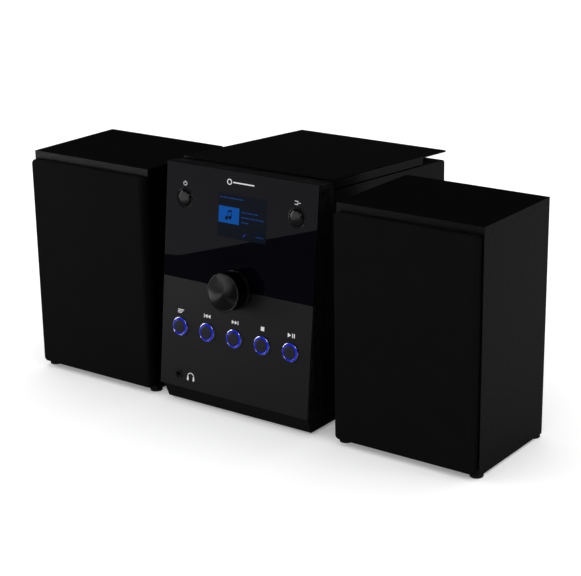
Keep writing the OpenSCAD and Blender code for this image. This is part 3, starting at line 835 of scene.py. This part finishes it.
class Bench:
    """Turns meshes into dressed pieces that ride on a body."""

    def __init__(self, frame: dict) -> None:
        """Keeps the loaded frame.
        """
        self.frame = frame
        self.count = 0
        self.weld = 0.002 * MM
        self.flat_angle = 0.6

    def piece(
        self,
        name: str,
        mesh: BMesh,
        place: Matrix,
        finish: Finish,
        body: str,
        *nodes: str,
        sharp: float = 35.0,
    ) -> Thing:
        """Makes a piece from a mesh.

        Args:
            name: The piece's name.
            mesh: Its shape, in its own space.
            place: Where it stands.
            finish: Its finish.
            body: The body it rides on.
            nodes: CAD nodes it stands for.
            sharp: Edges steeper than this many degrees stay sharp.

        Returns:
            The new object.
        """
        data = bpy.data.meshes.new(name)
        mesh.to_mesh(data)
        mesh.free()
        data.shade_smooth()
        data.set_sharp_from_angle(angle=math.radians(sharp))
        return self.dressed(name, data, place, finish, body, nodes)

    def dressed(
        self,
        name: str,
        data: bpy.types.Mesh,
        place: Matrix,
        finish: Finish,
        body: str,
        nodes: Sequence[str],
    ) -> Thing:
        """Gives mesh data an object, a finish and a body.

        Args:
            name: The piece's name.
            data: The mesh data.
            place: Where it stands.
            finish: Its finish.
            body: The body it rides on.
            nodes: CAD nodes it stands for.

        Returns:
            The new object.
        """
        data.materials.clear()
        data.materials.append(finish.material())
        thing = linked(name, data)
        thing.matrix_world = place
        bpy.context.view_layer.update()
        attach(thing, body)
        if nodes:
            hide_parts(*nodes)
        self.count += 1
        LOG.info("piece %s on %s", name, body)
        return thing

    def eased(
        self,
        node: str,
        name: str,
        finish: Finish,
        body: str,
        width: float,
        steps: int = 2,
        angle: float = 40.0,
    ) -> Thing:
        """Makes a copy of a CAD node with its hard edges rounded over.

        Args:
            node: The CAD node it stands for.
            name: The piece's name.
            finish: Its finish.
            body: The body it rides on.
            width: Width of the rounding.
            steps: Segments in the rounding.
            angle: Edges steeper than this many degrees are rounded.

        Returns:
            The new object.
        """
        source = self.frame["nodes"][node]
        mesh = bmesh.new()
        mesh.from_mesh(source.data)
        mesh.transform(source.matrix_world)
        bmesh.ops.remove_doubles(mesh, verts=mesh.verts, dist=self.weld)
        flat = math.radians(self.flat_angle)
        bmesh.ops.dissolve_limit(mesh, angle_limit=flat, verts=mesh.verts, edges=mesh.edges)
        data = bpy.data.meshes.new(name)
        mesh.to_mesh(data)
        mesh.free()
        data.shade_smooth()
        draft = linked(name + "_draft", data)
        easing = draft.modifiers.new("easing", "BEVEL")
        easing.width = width
        easing.segments = steps
        easing.limit_method = "ANGLE"
        easing.angle_limit = math.radians(angle)
        easing.use_clamp_overlap = True
        easing.miter_outer = "MITER_ARC"
        flats = draft.modifiers.new("flats", "WEIGHTED_NORMAL")
        flats.mode = "FACE_AREA"
        flats.weight = 100
        flats.keep_sharp = True
        eased = draft.evaluated_get(bpy.context.evaluated_depsgraph_get())
        result = bpy.data.meshes.new_from_object(eased)
        bpy.data.objects.remove(draft)
        return self.dressed(name, result, Matrix.Identity(4), finish, body, (node,))

    def dress(self, finish: Finish, *nodes: str) -> None:
        """Gives carried-over CAD nodes a finish.

        Args:
            finish: The finish.
            nodes: The CAD nodes.
        """
        for node in nodes:
            thing = self.frame["nodes"][node]
            if not thing.material_slots:
                thing.data.materials.append(None)
            for place in thing.material_slots:
                place.material = finish.material()
            LOG.info("node %s dressed", node)


def joint_of(frame: dict, name: str) -> dict:
    """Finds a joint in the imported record.

    Args:
        name: The joint's name.

    Returns:
        The joint's entry.
    """
    return next(j for j in frame["record"]["behaviour"]["joints"] if j["name"] == name)


# ---------------------------------------------------------------- the stage


@dataclass(frozen=True)
class Lamp:
    """A soft lamp: where it hangs, what it points at, its size and its power in watts."""

    name: str
    place: Triple
    aim: Triple
    width: float
    height: float
    power: float
    roll: float = 0.0
    in_gloss: bool = True
    in_diffuse: bool = True

    def hang(self) -> None:
        """Makes the lamp."""
        data = bpy.data.lights.new(self.name, "AREA")
        data.shape = "RECTANGLE"
        data.size = self.width
        data.size_y = self.height
        data.energy = self.power
        thing = linked(self.name, data)
        thing.location = self.place
        sight = Vector(self.aim) - Vector(self.place)
        thing.rotation_euler = sight.to_track_quat("-Z", "Y").to_euler()
        if self.roll:
            thing.rotation_euler.rotate_axis("Z", math.radians(self.roll))
        thing.visible_camera = False
        thing.visible_glossy = self.in_gloss
        thing.visible_diffuse = self.in_diffuse


MIDDLE, FRONT, LEVEL = (0.0, 0.0, 0.1), (0.0, -0.12, 0.1), (0.0, -0.1, 0.166)
LAMPS = (
    Lamp("key", (-1.6, -1.5, 1.7), MIDDLE, 0.9, 0.6, 6.0, in_gloss=False),
    Lamp("side", (2.0, 0.4, 1.0), (0.1, 0.0, 0.1), 0.5, 0.7, 3.5),
    Lamp("card", (-0.78, -0.98, 0.166), LEVEL, 0.7, 0.32, 0.58, roll=16.0, in_diffuse=False),
    Lamp("glint", (0.15, -1.45, 0.78), FRONT, 0.3, 0.3, 1.6, in_diffuse=False),
    Lamp("rim", (-1.35, -0.52, 0.42), FRONT, 0.5, 0.9, 9.0, in_diffuse=False),
)


@dataclass
class Stage:
    """The floor, the light and the camera."""

    floor_reach: float = 7.0
    floor_pale: tuple[Triple, Triple] = ((0.94, 0.94, 0.94), (0.95, 0.95, 0.95))
    # Floor colours seen in glossy rays: a painted dim reflection, darker at low X than at high X.
    floor_in_gloss: tuple[Triple, Triple] = ((0.1, 0.1, 0.11), (0.155, 0.155, 0.155))
    gloss_reach: Point2 = (-0.05, 0.4)
    floor_lift: float = 0.2
    world_light: float = 1.04
    world_in_gloss: float = 0.011
    camera_place: Triple = (0.8674, -1.2055, 0.5848)
    camera_turn: float = 36.278
    camera_fall: float = 18.131
    camera_roll: float = -0.922
    focal_length: float = 100.53
    sensor: float = 36.0

    def build(self) -> None:
        """Makes the camera, the floor, the world and the lamps."""
        self.camera()
        self.floor()
        self.world()
        for lamp in LAMPS:
            lamp.hang()
        bpy.context.scene.view_settings.view_transform = "Standard"
        LOG.info("stage built")

    def camera(self) -> None:
        """Makes the camera and gives it to the scene."""
        angles = (self.camera_turn, self.camera_fall, self.camera_roll)
        turn, fall, roll = (math.radians(angle) for angle in angles)
        level = Vector((math.sin(turn), -math.cos(turn), 0.0))
        back = level * math.cos(fall) + Vector((0.0, 0.0, math.sin(fall)))
        right = Vector((math.cos(turn), math.sin(turn), 0.0))
        top = back.cross(right)
        side = right * math.cos(roll) + top * math.sin(roll)
        upward = top * math.cos(roll) - right * math.sin(roll)
        data = bpy.data.cameras.new("camera")
        data.lens = self.focal_length
        data.sensor_width = self.sensor
        data.clip_start = 0.05
        thing = linked("camera", data)
        place = Matrix((side, upward, back)).transposed().to_4x4()
        place.translation = Vector(self.camera_place)
        thing.matrix_world = place
        bpy.context.scene.camera = thing

    def floor(self) -> None:
        """Makes the plain pale floor; gloss mirrors it as a painted dim floor, darker at the left
        than at the right.
        """
        data = bpy.data.meshes.new("floor")
        mesh = lathe([(0.0, 0.0), (self.floor_reach * 0.3, 0.0), (self.floor_reach, 0.0)], 64)
        mesh.to_mesh(data)
        mesh.free()
        material = bpy.data.materials.new("Floor paper")
        material.use_nodes = True
        board = NodeBoard(material.node_tree)
        place = board.add("TexCoord").outputs["Object"]
        path = board.add("LightPath").outputs
        pale = board.tint(noise(board, place, 30.0), *self.floor_pale)
        # Painted reflection: glossy rays see the floor dimmed, graded from darker at low X to
        # lighter at high X.
        along = board.span(board.split(place).outputs["X"], *self.gloss_reach)
        dim = board.tint(along, *self.floor_in_gloss)
        shade = board.tint(path["Is Glossy Ray"], pale, dim)
        lift = board.times(path["Is Camera Ray"], self.floor_lift)
        shader = material.node_tree.nodes["Principled BSDF"]
        board.put(shader, Base_Color=shade, Roughness=0.9, Specular_IOR_Level=0.1)
        board.put(shader, Emission_Color=WHITE, Emission_Strength=lift)
        data.materials.append(material)
        linked("floor", data)

    def world(self) -> None:
        """Makes even white light, kept dim where gloss would mirror it."""
        world = bpy.data.worlds.new("studio")
        world.use_nodes = True
        bpy.context.scene.world = world
        board = NodeBoard(world.node_tree)
        gloss = board.add("LightPath").outputs["Is Glossy Ray"]
        light = board.span(gloss, 0.0, 1.0, self.world_light, self.world_in_gloss)
        board.put(world.node_tree.nodes["Background"], Color=WHITE, Strength=light)


# ---------------------------------------------------------------- main unit


@dataclass
class Housing:
    """The body, base, rear panel, feet and screws of the main unit."""

    bench: Bench
    body: str = "main_unit"

    def build(self) -> None:
        """Builds the housing: CAD node, piece, finish, rounding in millimetres and its steps."""
        for node, name, finish, easing, steps in (
            ("body_shell", "body_side_walls", BODY_SATIN, 0.9, 3),
            ("base_tray", "base_plinth", BASE_MATT, 0.6, 2),
            ("rear_panel", "rear_cover", PANEL_TEXTURE, 0.35, 2),
            ("unit_feet", "rubber_feet", FOOT_RUBBER, 0.5, 2),
            ("case_screws", "cover_screws", METAL_STEEL, 0.15, 2),
            ("rear_sockets", "signal_sockets", SOCKET_PLASTIC, 0.2, 2),
            ("speaker_terminals", "spring_clip_block", SOCKET_PLASTIC, 0.3, 2),
        ):
            self.bench.eased(node, name, finish, self.body, easing * MM, steps)
        for number in range(1, 5):
            lever, clip = f"unit_lever_{number}", f"spring_clip_{number}"
            finish = LEVER_BLACK if number % 2 else LEVER_RED
            self.bench.eased(lever, clip, finish, f"unit_clip_{number}", 0.4 * MM)
        self.works()

    def works(self) -> None:
        """Dresses the parts inside the housing."""
        self.bench.dress(BOARD_GREEN, "main_board", "front_board")
        self.bench.dress(METAL_ALUMINIUM, "heat_sink", "cd_motors")
        self.bench.dress(CORE_VARNISH, "transformer")
        self.bench.dress(METAL_STEEL, "hinge_pins", "guide_rods", "sled_screw")
        self.bench.dress(SCREEN_DARK, "display_module")


@dataclass
class FrontSlab:
    """The leaning front: its frame, window, control plate and printed marks.

    Places on the face and the marks' sizes are in millimetres.
    """

    bench: Bench
    body: str = "main_unit"
    proud: float = 0.07 * MM
    sunk: float = 0.05 * MM
    plate_depth: float = 2.0 * MM
    column: float = 31.9
    key_row: float = 59.1
    top_row: float = 181.8
    icon_rise: float = 15.6
    menu_drop: float = 0.8
    upper_icon_rise: float = 13.6
    icon_growth: float = 1.3
    headphone_place: Point2 = (-49.4, 12.3)
    headphone_growth: float = 1.4
    emblem_row: float = 203.6
    screen_place: Point2 = (3.3, 172.6)
    screen_size: Point2 = (55.5, 40.5)
    tile_place: Point2 = (-11.8, 173.2)
    tile_size: Point2 = (23.4, 15.2)
    note_place: Point2 = (-11.8, 172.9)
    dash_gap: float = 0.7
    space: Matrix = field(default_factory=lambda: Matrix.Identity(4))

    def __post_init__(self) -> None:
        """Finds the face's own space: X across, Y up the slope, Z out of it."""
        outward = Vector(joint_of(self.bench.frame, "volume_turn")["axis"]).normalized()
        low, high = (Vector(corner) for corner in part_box("lower_plate"))
        start = Vector(((low.x + high.x) / 2, low.y, low.z + self.plate_depth * outward.z))
        self.space = space_at(start, outward)

    def at(self, u: float, v: float) -> Matrix:
        """Gives a place on the face, from its centre line and lower edge."""
        return self.space @ Matrix.Translation((u * MM, v * MM, 0.0))

    def marks(
        self,
        name: str,
        outlines: Iterable[Outline],
        place: Point2,
        finish: Finish = ICON_WHITE_PAINTED_GLOW,
        lift: float = 0.0,
        grow: float = 1.0,
    ) -> None:
        """Makes thin raised marks on the face.

        Args:
            name: The piece's name.
            outlines: Outlines in millimetres about the place.
            place: Across from the centre line and up the slope, in millimetres.
            finish: The marks' finish.
            lift: How much further out the marks lie, in metres.
            grow: How much larger than drawn the marks are.
        """
        drawn = (in_metres(outline, grow) for outline in outlines)
        mesh = plates(drawn, -self.sunk, self.proud + lift)
        self.bench.piece(name, mesh, self.at(*place), finish, self.body)

    def build(self) -> None:
        """Builds the slab."""
        self.bench.eased("fascia_frame", "front_slab_rim", FASCIA_GLOSS, self.body, 0.5 * MM)
        self.bench.eased("upper_window", "front_window", WINDOW_SMOKE, self.body, 0.45 * MM)
        self.bench.eased("lower_plate", "control_plate", CONTROL_SATIN, self.body, 0.5 * MM)
        self.key_icons()
        self.upper_icons()
        self.screen()
        self.jack()

    def key_icons(self) -> None:
        """Makes the white signs above the lower keys and beside the headphone socket."""
        left = [(-0.1, 0.0), (2.3, 1.45), (2.3, -1.45)]
        right = [(0.1, 0.0), (-2.3, -1.45), (-2.3, 1.45)]
        wedge = [(-2.8, -1.6), (0.1, 0.0), (-2.8, 1.6)]
        lines = ((0.0, 1.1, 5.6), (-0.5, 0.0, 4.6), (-1.0, -1.1, 3.6))
        signs = {
            "menu_sign": [bar(x, y, width, 0.55) for x, y, width in lines],
            "previous_sign": [bar(-2.9, 0.0, 0.6, 2.9), shifted(left, -2.3), shifted(left, 0.3)],
            "next_sign": [shifted(right, -0.3), shifted(right, 2.3), bar(2.9, 0.0, 0.6, 2.9)],
            "stop_sign": [bar(0.0, 0.0, 3.0, 3.0)],
            "play_sign": [wedge, bar(1.3, 0.0, 0.75, 3.0), bar(2.8, 0.0, 0.75, 3.0)],
        }
        for index, (name, outlines) in enumerate(signs.items()):
            drop = 0.0 if index else self.menu_drop
            place = ((index - 2) * self.column, self.key_row + self.icon_rise - drop)
            self.marks(name, outlines, place, grow=self.icon_growth)
        band = arc_band(0.0, 0.0, 2.35, 2.85, -12, 192, 32)
        ears = [band, bar(-2.45, -1.3, 1.3, 2.7), bar(2.45, -1.3, 1.3, 2.7)]
        self.marks("headphone_sign", ears, self.headphone_place, grow=self.headphone_growth)

    def upper_icons(self) -> None:
        """Makes the small signs above the power and mode keys, and a plain maker's bar."""
        power = [arc_band(0.0, 0.0, 1.25, 1.65, 120, 420, 28), bar(0.0, 1.05, 0.42, 1.7)]
        mode = [bar(-1.0, 0.9, 3.0, 0.4), bar(1.0, -0.2, 3.0, 0.4), bar(-1.0, -1.3, 3.0, 0.4)]
        row = self.top_row + self.upper_icon_rise
        self.marks("power_sign", power, (-2 * self.column, row), grow=self.icon_growth)
        self.marks("mode_sign", mode, (2 * self.column, row), grow=self.icon_growth)
        emblem = [arc_band(-12.5, 0.0, 1.9, 2.75, 0, 360, 40), bar(3.5, 0.0, 24.0, 1.1)]
        self.marks("front_emblem", emblem, (0.0, self.emblem_row))

    def screen(self) -> None:
        """Makes the lit screen: ground, blue tile with a note, and rows of short marks."""
        ground = in_metres(rounded_loop(*self.screen_size, 0.8, 3))
        mesh = plates([ground], -self.sunk, self.proud * 0.4)
        self.bench.piece("screen_ground", mesh, self.at(*self.screen_place), SCREEN_DARK, self.body)
        self.marks("screen_tile", [bar(0.0, 0.0, *self.tile_size)], self.tile_place, SCREEN_BLUE)
        beam = [(-1.4, 4.3), (3.2, 5.3), (3.2, 3.7), (-1.4, 2.7)]
        stems = [bar(-1.1, 0.8, 0.75, 6.8), bar(2.85, 1.6, 0.75, 6.4)]
        note = [disc(-2.6, -2.8, 1.75), stems[0], beam, stems[1], disc(1.4, -1.9, 1.75)]
        self.marks("screen_note", note, self.note_place, SCREEN_DARK, lift=self.proud * 0.5)
        dashes: list[Outline] = []
        for start, height, thick, lengths in (
            (-22.5, 188.9, 0.9, (3.0, 4.2, 2.6, 5.0, 3.4, 4.4)),
            (2.4, 177.6, 0.85, (3.6, 2.4, 4.2, 1.2, 4.4)),
            (2.4, 173.0, 0.85, (4.8, 2.6, 2.0, 4.4, 3.8, 4.0)),
            (2.4, 168.4, 0.85, (3.4, 4.2)),
            (19.5, 157.4, 0.75, (2.0, 3.2, 1.6)),
        ):
            reach = start
            for length in lengths:
                dashes.append(bar(reach + length / 2, height, length, thick))
                reach += length + self.dash_gap
        dashes.append([(4.6, 156.8), (6.2, 155.2), (9.0, 159.0), (6.2, 157.0)])
        self.marks("screen_marks", dashes, (0.0, 0.0), SCREEN_LIGHT)

    def jack(self) -> None:
        """Makes the headphone socket's collar."""
        finish, easing = SOCKET_PLASTIC, 0.25 * MM
        self.bench.eased("headphone_jack", "headphone_socket_body", finish, self.body, easing)


@dataclass
class FrontKeys:
    """The five lower keys with their lit collars, and the two upper keys.

    Radii are in millimetres from a key's axis, heights in millimetres out of the face.
    """

    bench: Bench
    slab: FrontSlab
    cap_radius: float = 6.6
    collar_inner: float = 6.9
    collar_outer: float = 8.1
    bezel_outer: float = 9.1
    halo_inner: float = 8.92
    upper_radius: float = 7.3
    wall_back: float = 5.25
    flange: float = 1.2
    flange_reach: float = 1.6
    stem_radius: float = 2.0
    stem_end: float = 9.0
    steps: int = 64

    def key(self, name: str, place: Matrix, crown: Outline, radius: float, finish: Finish) -> None:
        """Makes a key with its flange and stem.

        Args:
            name: The key's name, without what comes after it.
            place: The key's place on the face.
            crown: Profile of the cap's face, from the middle outwards.
            radius: The cap's radius.
            finish: Its finish.
        """
        back, rim = -self.wall_back, radius + self.flange_reach
        under, stem = back - self.flange, self.stem_radius
        profile = [*crown, (radius, back), (rim, back), (rim, under), (stem, under)]
        profile += [(stem, -self.stem_end), (0.0, -self.stem_end)]
        mesh, node = lathe(in_metres(profile), self.steps), f"{name}_button"
        self.bench.piece(f"{name}_key_cap", mesh, place, finish, f"{name}_key", node, sharp=50.0)

    def build(self) -> None:
        """Builds all the keys and rings."""
        lower = [(0.0, 2.0), (5.5, 2.02), (6.1, 1.95), (6.45, 1.7), (6.6, 1.3)]
        upper = [(0.0, 1.4), (5.4, 1.42), (6.1, 1.3), (6.6, 1.02), (7.0, 0.6), (7.3, 0.05)]
        names = ("menu", "previous", "next", "stop", "play")
        for name, place in zip(names, self.lower_places()):
            self.key(name, place, lower, self.cap_radius, KEY_CAP)
        for name, place in zip(("power", "mode"), self.upper_places()):
            self.key(name, place, upper, self.upper_radius, KEY_GLOSS)
        self.rings()

    def lower_places(self) -> list[Matrix]:
        """Gives the places of the five lower keys."""
        return [self.slab.at(n * self.slab.column, self.slab.key_row) for n in range(-2, 3)]

    def upper_places(self) -> list[Matrix]:
        """Gives the places of the two upper keys."""
        return [self.slab.at(n * self.slab.column, self.slab.top_row) for n in (-2, 2)]

    def rings(self) -> None:
        """Makes the lit collars, their polished bezels and the halos of the upper keys."""
        i, o, b, h = self.collar_inner, self.collar_outer, self.bezel_outer, self.halo_inner
        collar = [(i, -2.0), (i, 1.7), (i + 0.3, 1.85), (o - 0.3, 0.75), (o, 0.5), (o, -2.0)]
        bezel = [(o + 0.03, -1.9), (o + 0.03, 0.5), (o + 0.1, 0.95), (o + 0.3, 1.08)]
        bezel += [(o + 0.55, 0.97), (o + 0.8, 0.66), (b, 0.3), (b, -1.9)]
        halo = [(h, -0.4), (h + 0.03, 0.06), (h + 0.23, 0.13), (h + 0.43, 0.06), (h + 0.46, -0.4)]
        for name, profile, places, finish, nodes in (
            ("key_light_collars", collar, self.lower_places(), KEY_GLOW, ["ring_lights"]),
            ("key_polished_bezels", bezel, self.lower_places(), KEY_RING, ["button_rings"]),
            ("upper_key_halos", halo, self.upper_places(), KNOB_SIDE, []),
        ):
            joined = bmesh.new()
            for place in places:
                ring = lathe(in_metres([*profile, profile[0]]), self.steps)
                ring.transform(self.slab.space.inverted() @ place)
                absorb(joined, ring)
            bmesh.ops.remove_doubles(joined, verts=joined.verts, dist=1e-7)
            self.bench.piece(name, joined, self.slab.space, finish, self.slab.body, *nodes)


@dataclass
class VolumeKnob:
    """The big turning knob: polished side with fine ridges, and a spun face.

    Sizes are in millimetres.
    """

    bench: Bench
    slab: FrontSlab
    radius: float = 18.0
    length: float = 20.0
    ridge_top: float = 6.6
    ridge_pitch: float = 0.8
    ridges: int = 5
    stem_radius: float = 3.0
    stem_end: float = 8.0
    steps: int = 160

    def build(self) -> None:
        """Builds the knob."""
        r, top, stem, end = self.radius, self.length, self.stem_radius, -self.stem_end
        shell = [(0.0, top - 0.6), (r - 1.3, top - 0.6), (r - 1.25, top - 0.15), (r - 1.0, top)]
        shell += [(r - 0.5, top - 0.05), (r - 0.15, top - 0.35), (r, top - 0.9)]
        for number in range(self.ridges):
            edge = self.ridge_top - number * self.ridge_pitch
            shell += [(r, edge), (r - 0.28, edge - 0.18), (r - 0.28, edge - 0.36), (r, edge - 0.54)]
        shell += [(r, 1.5), (r - 0.5, 1.0), (stem, 1.0), (stem, end), (0.0, end)]
        face = [(0.0, top - 0.5), (r - 1.5, top - 0.5), (r - 1.32, top - 0.18)]
        face += [(r - 1.45, top - 0.12), (0.0, top - 0.12)]
        self.turned("volume_knob_shell", shell, KNOB_SIDE, "volume_knob")
        self.turned("volume_knob_face", face, KNOB_SPUN)

    def turned(self, name: str, profile: Outline, finish: Finish, *nodes: str) -> None:
        """Makes a turned piece of the knob.

        Args:
            name: The piece's name.
            profile: Its profile.
            finish: Its finish.
            nodes: CAD nodes it stands for.
        """
        place = self.slab.space.copy()
        place.translation = Vector(joint_of(self.bench.frame, "volume_turn")["pos_m"])
        mesh = lathe(in_metres(profile), self.steps)
        self.bench.piece(name, mesh, place, finish, "knob", *nodes, sharp=40.0)


# ---------------------------------------------------------------- disc deck


@dataclass
class DiscDeck:
    """The deck with its well, spindle, pickup and the lid that covers it."""

    bench: Bench
    lens_seat: float = 0.9 * MM
    space: Matrix = field(default_factory=lambda: Matrix.Identity(4))

    def __post_init__(self) -> None:
        """Finds the spindle's space: Z up its axis, from the disc's seat."""
        spin = joint_of(self.bench.frame, "disc_spin")
        up = Vector(spin["axis"]).normalized()
        self.space = space_at(Vector(spin["pos_m"]), up)

    def build(self) -> None:
        """Builds the deck."""
        bench = self.bench
        bench.eased("top_deck", "deck_top", DECK_SATIN, "main_unit", 0.5 * MM)
        bench.dress(DECK_SATIN, "cd_chassis", "turntable")
        bench.dress(CLAMP_GREY, "pickup_sled")
        ring = lathe(in_metres([(8.6, 0.01), (8.8, 0.29), (12.8, 0.29), (13.2, 0.01), (8.6, 0.01)]))
        bench.piece("disc_rubber_ring", ring, self.space, FOOT_RUBBER, "spindle")
        lens = lathe(in_metres([(0.0, 0.75), (1.0, 0.62), (1.8, 0.3), (2.1, 0.0), (0.0, 0.0)]), 40)
        low, high = (Vector(corner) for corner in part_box("pickup_sled"))
        spot = self.space.copy()
        spot.translation = Vector((*((low + high) / 2).xy, high.z - self.lens_seat))
        bench.piece("pickup_lens", lens, spot, LENS_GLASS, "sled")

    def lid(self) -> None:
        """Builds the lid: plate, skirt with its hinge arms, and the clamp."""
        self.bench.eased("lid_plate", "lid_top_plate", LID_POLISH, "lid", 0.55 * MM, 3)
        self.bench.eased("lid_frame", "lid_skirt", BODY_SATIN, "lid", 0.5 * MM, 3)
        self.bench.eased("disc_clamp", "disc_clamp_puck", CLAMP_GREY, "clamp", 0.4 * MM, 2, 50.0)


# ---------------------------------------------------------------- speakers


class Side(Enum):
    """Which speaker is built."""

    LEFT = "left"
    RIGHT = "right"


@dataclass
class Speaker:
    """A speaker: covered cabinet, cloth grille, drivers and rear terminals."""

    bench: Bench
    side: Side
    grille_depth: float = 8.5 * MM
    corner: float = 4.0 * MM
    hollow_corner: float = 1.0 * MM
    least_corner: float = 0.6 * MM
    nose: float = 3.2 * MM
    nose_steps: int = 6
    cloth_gap: float = 0.4 * MM
    cloth_tuck: float = 0.4 * MM
    rim: float = 3.5 * MM
    skin: float = 2.0 * MM
    peg_inset: float = 14.0 * MM
    peg_top_inset: float = 18.0 * MM
    peg_root: float = 8.0 * MM
    peg_profile: Outline = (
        (0.0, 14.0), (1.9, 14.0), (2.4, 13.3), (2.4, 7.9), (4.0, 7.9), (4.0, 0.0), (0.0, 0.0)
    )

    def name(self, part: str) -> str:
        """Gives a part's name with the speaker's side in front."""
        return f"{self.side.value}_{part}"

    def build(self) -> None:
        """Builds the speaker: CAD node, piece, finish, body, rounding in millimetres and steps."""
        for node, piece, finish, body, easing, steps in (
            ("cabinet", "cabinet_box", CABINET_VINYL, "speaker", 1.1, 3),
            ("terminal_cup", "terminal_dish", SOCKET_PLASTIC, "speaker", 0.4, 2),
            ("feet", "rubber_feet", FOOT_RUBBER, "speaker", 0.5, 2),
            ("lever_black", "clip_tab_black", LEVER_BLACK, "clip_black", 0.4, 2),
            ("lever_red", "clip_tab_red", LEVER_RED, "clip_red", 0.4, 2),
        ):
            names = (self.name(node), self.name(piece))
            self.bench.eased(*names, finish, self.name(body), easing * MM, steps)
        self.bench.dress(BASKET_PAINT, self.name("woofer_frame"))
        self.bench.dress(CONE_PAPER, self.name("woofer_cone"))
        self.bench.dress(TWEETER_PLASTIC, self.name("tweeter"))
        self.grille()

    def loop(
        self, centre: Vector, width: float, height: float, corner: float, y: float
    ) -> list[Vector]:
        """Gives a rounded rectangle that stands in the X-Z plane.

        Args:
            centre: The grille's middle.
            width: Full width.
            height: Full height.
            corner: Corner radius.
            y: Where the plane is.

        Returns:
            The loop's points.
        """
        outline = rounded_loop(width, height, corner)
        return [Vector((centre.x + x, y, centre.z + z)) for x, z in outline]

    def nosed(
        self, centre: Vector, width: float, height: float, front: float, inset: float
    ) -> list[list[Vector]]:
        """Gives the loops of a front edge that is rolled over.

        Args:
            centre: The grille's middle.
            width: Full width.
            height: Full height.
            front: Y of the front face.
            inset: How far the whole skin is drawn in.

        Returns:
            The loops, from the side to the front.
        """
        loops = []
        for step in range(self.nose_steps + 1):
            angle = math.pi / 2 * step / self.nose_steps
            pull = self.nose * (1 - math.cos(angle))
            reach = self.nose * (1 - math.sin(angle))
            less = 2 * (inset + pull)
            corner = max(self.corner - inset - pull * 0.6, self.least_corner)
            y = front + inset + reach
            loops.append(self.loop(centre, width - less, height - less, corner, y))
        return loops

    def pegs(self, frame: BMesh, rear: float) -> None:
        """Adds the pegs that hold the grille on its cabinet.

        Args:
            frame: The grille frame's mesh.
            rear: Y of the frame's back.
        """
        low, high = (Vector(corner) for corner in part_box(self.name("cabinet")))
        turn = Matrix.Rotation(-math.pi / 2, 4, "X")
        for x in (low.x + self.peg_inset, high.x - self.peg_inset):
            for z in (low.z + self.peg_inset, high.z - self.peg_top_inset):
                post = lathe(in_metres(self.peg_profile), 32)
                post.transform(Matrix.Translation((x, rear - self.peg_root, z)) @ turn)
                absorb(frame, post)

    def grille(self) -> None:
        """Builds the grille: a moulded frame with pegs, and the cloth stretched over it."""
        low, high = (Vector(corner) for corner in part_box(self.name("grille")))
        centre, width, height = (low + high) / 2, high.x - low.x, high.z - low.z
        front, rear = low.y, low.y + self.grille_depth
        body, here, gap = self.name("grille_body"), Matrix.Identity(4), 2 * self.cloth_gap
        hollow = (centre, width - 2 * self.rim, height - 2 * self.rim, self.hollow_corner)
        loops = [self.loop(*hollow, front + self.skin), self.loop(*hollow, rear)]
        loops.append(self.loop(centre, width - gap, height - gap, self.corner, rear))
        frame = loft(loops + self.nosed(centre, width, height, front, self.cloth_gap))
        self.pegs(frame, rear)
        node, name = self.name("grille"), self.name("grille_frame")
        self.bench.piece(name, frame, here, GRILLE_FRAME, body, node)
        tucked = rear - self.cloth_tuck
        loops = [self.loop(centre, width, height, self.corner, tucked)]
        skin = loft(loops + self.nosed(centre, width, height, front, 0.0), close_start=False)
        cloth = self.bench.piece(self.name("grille_cloth"), skin, here, GRILLE_CLOTH, body)
        self.name("grille_frame")


def main() -> None:
    """Builds the stage and every sub-assembly, and logs how many pieces were built."""
    logging.basicConfig(level=logging.INFO, format="%(message)s")
    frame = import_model()
    Stage().build()
    bench = Bench(frame)
    Housing(bench).build()
    slab = FrontSlab(bench)
    slab.build()
    FrontKeys(bench, slab).build()
    VolumeKnob(bench, slab).build()
    deck = DiscDeck(bench)
    deck.build()
    deck.lid()
    for side in Side:
        Speaker(bench, side).build()
    LOG.info("%d pieces built", bench.count)


if __name__ == "__main__":
    main()
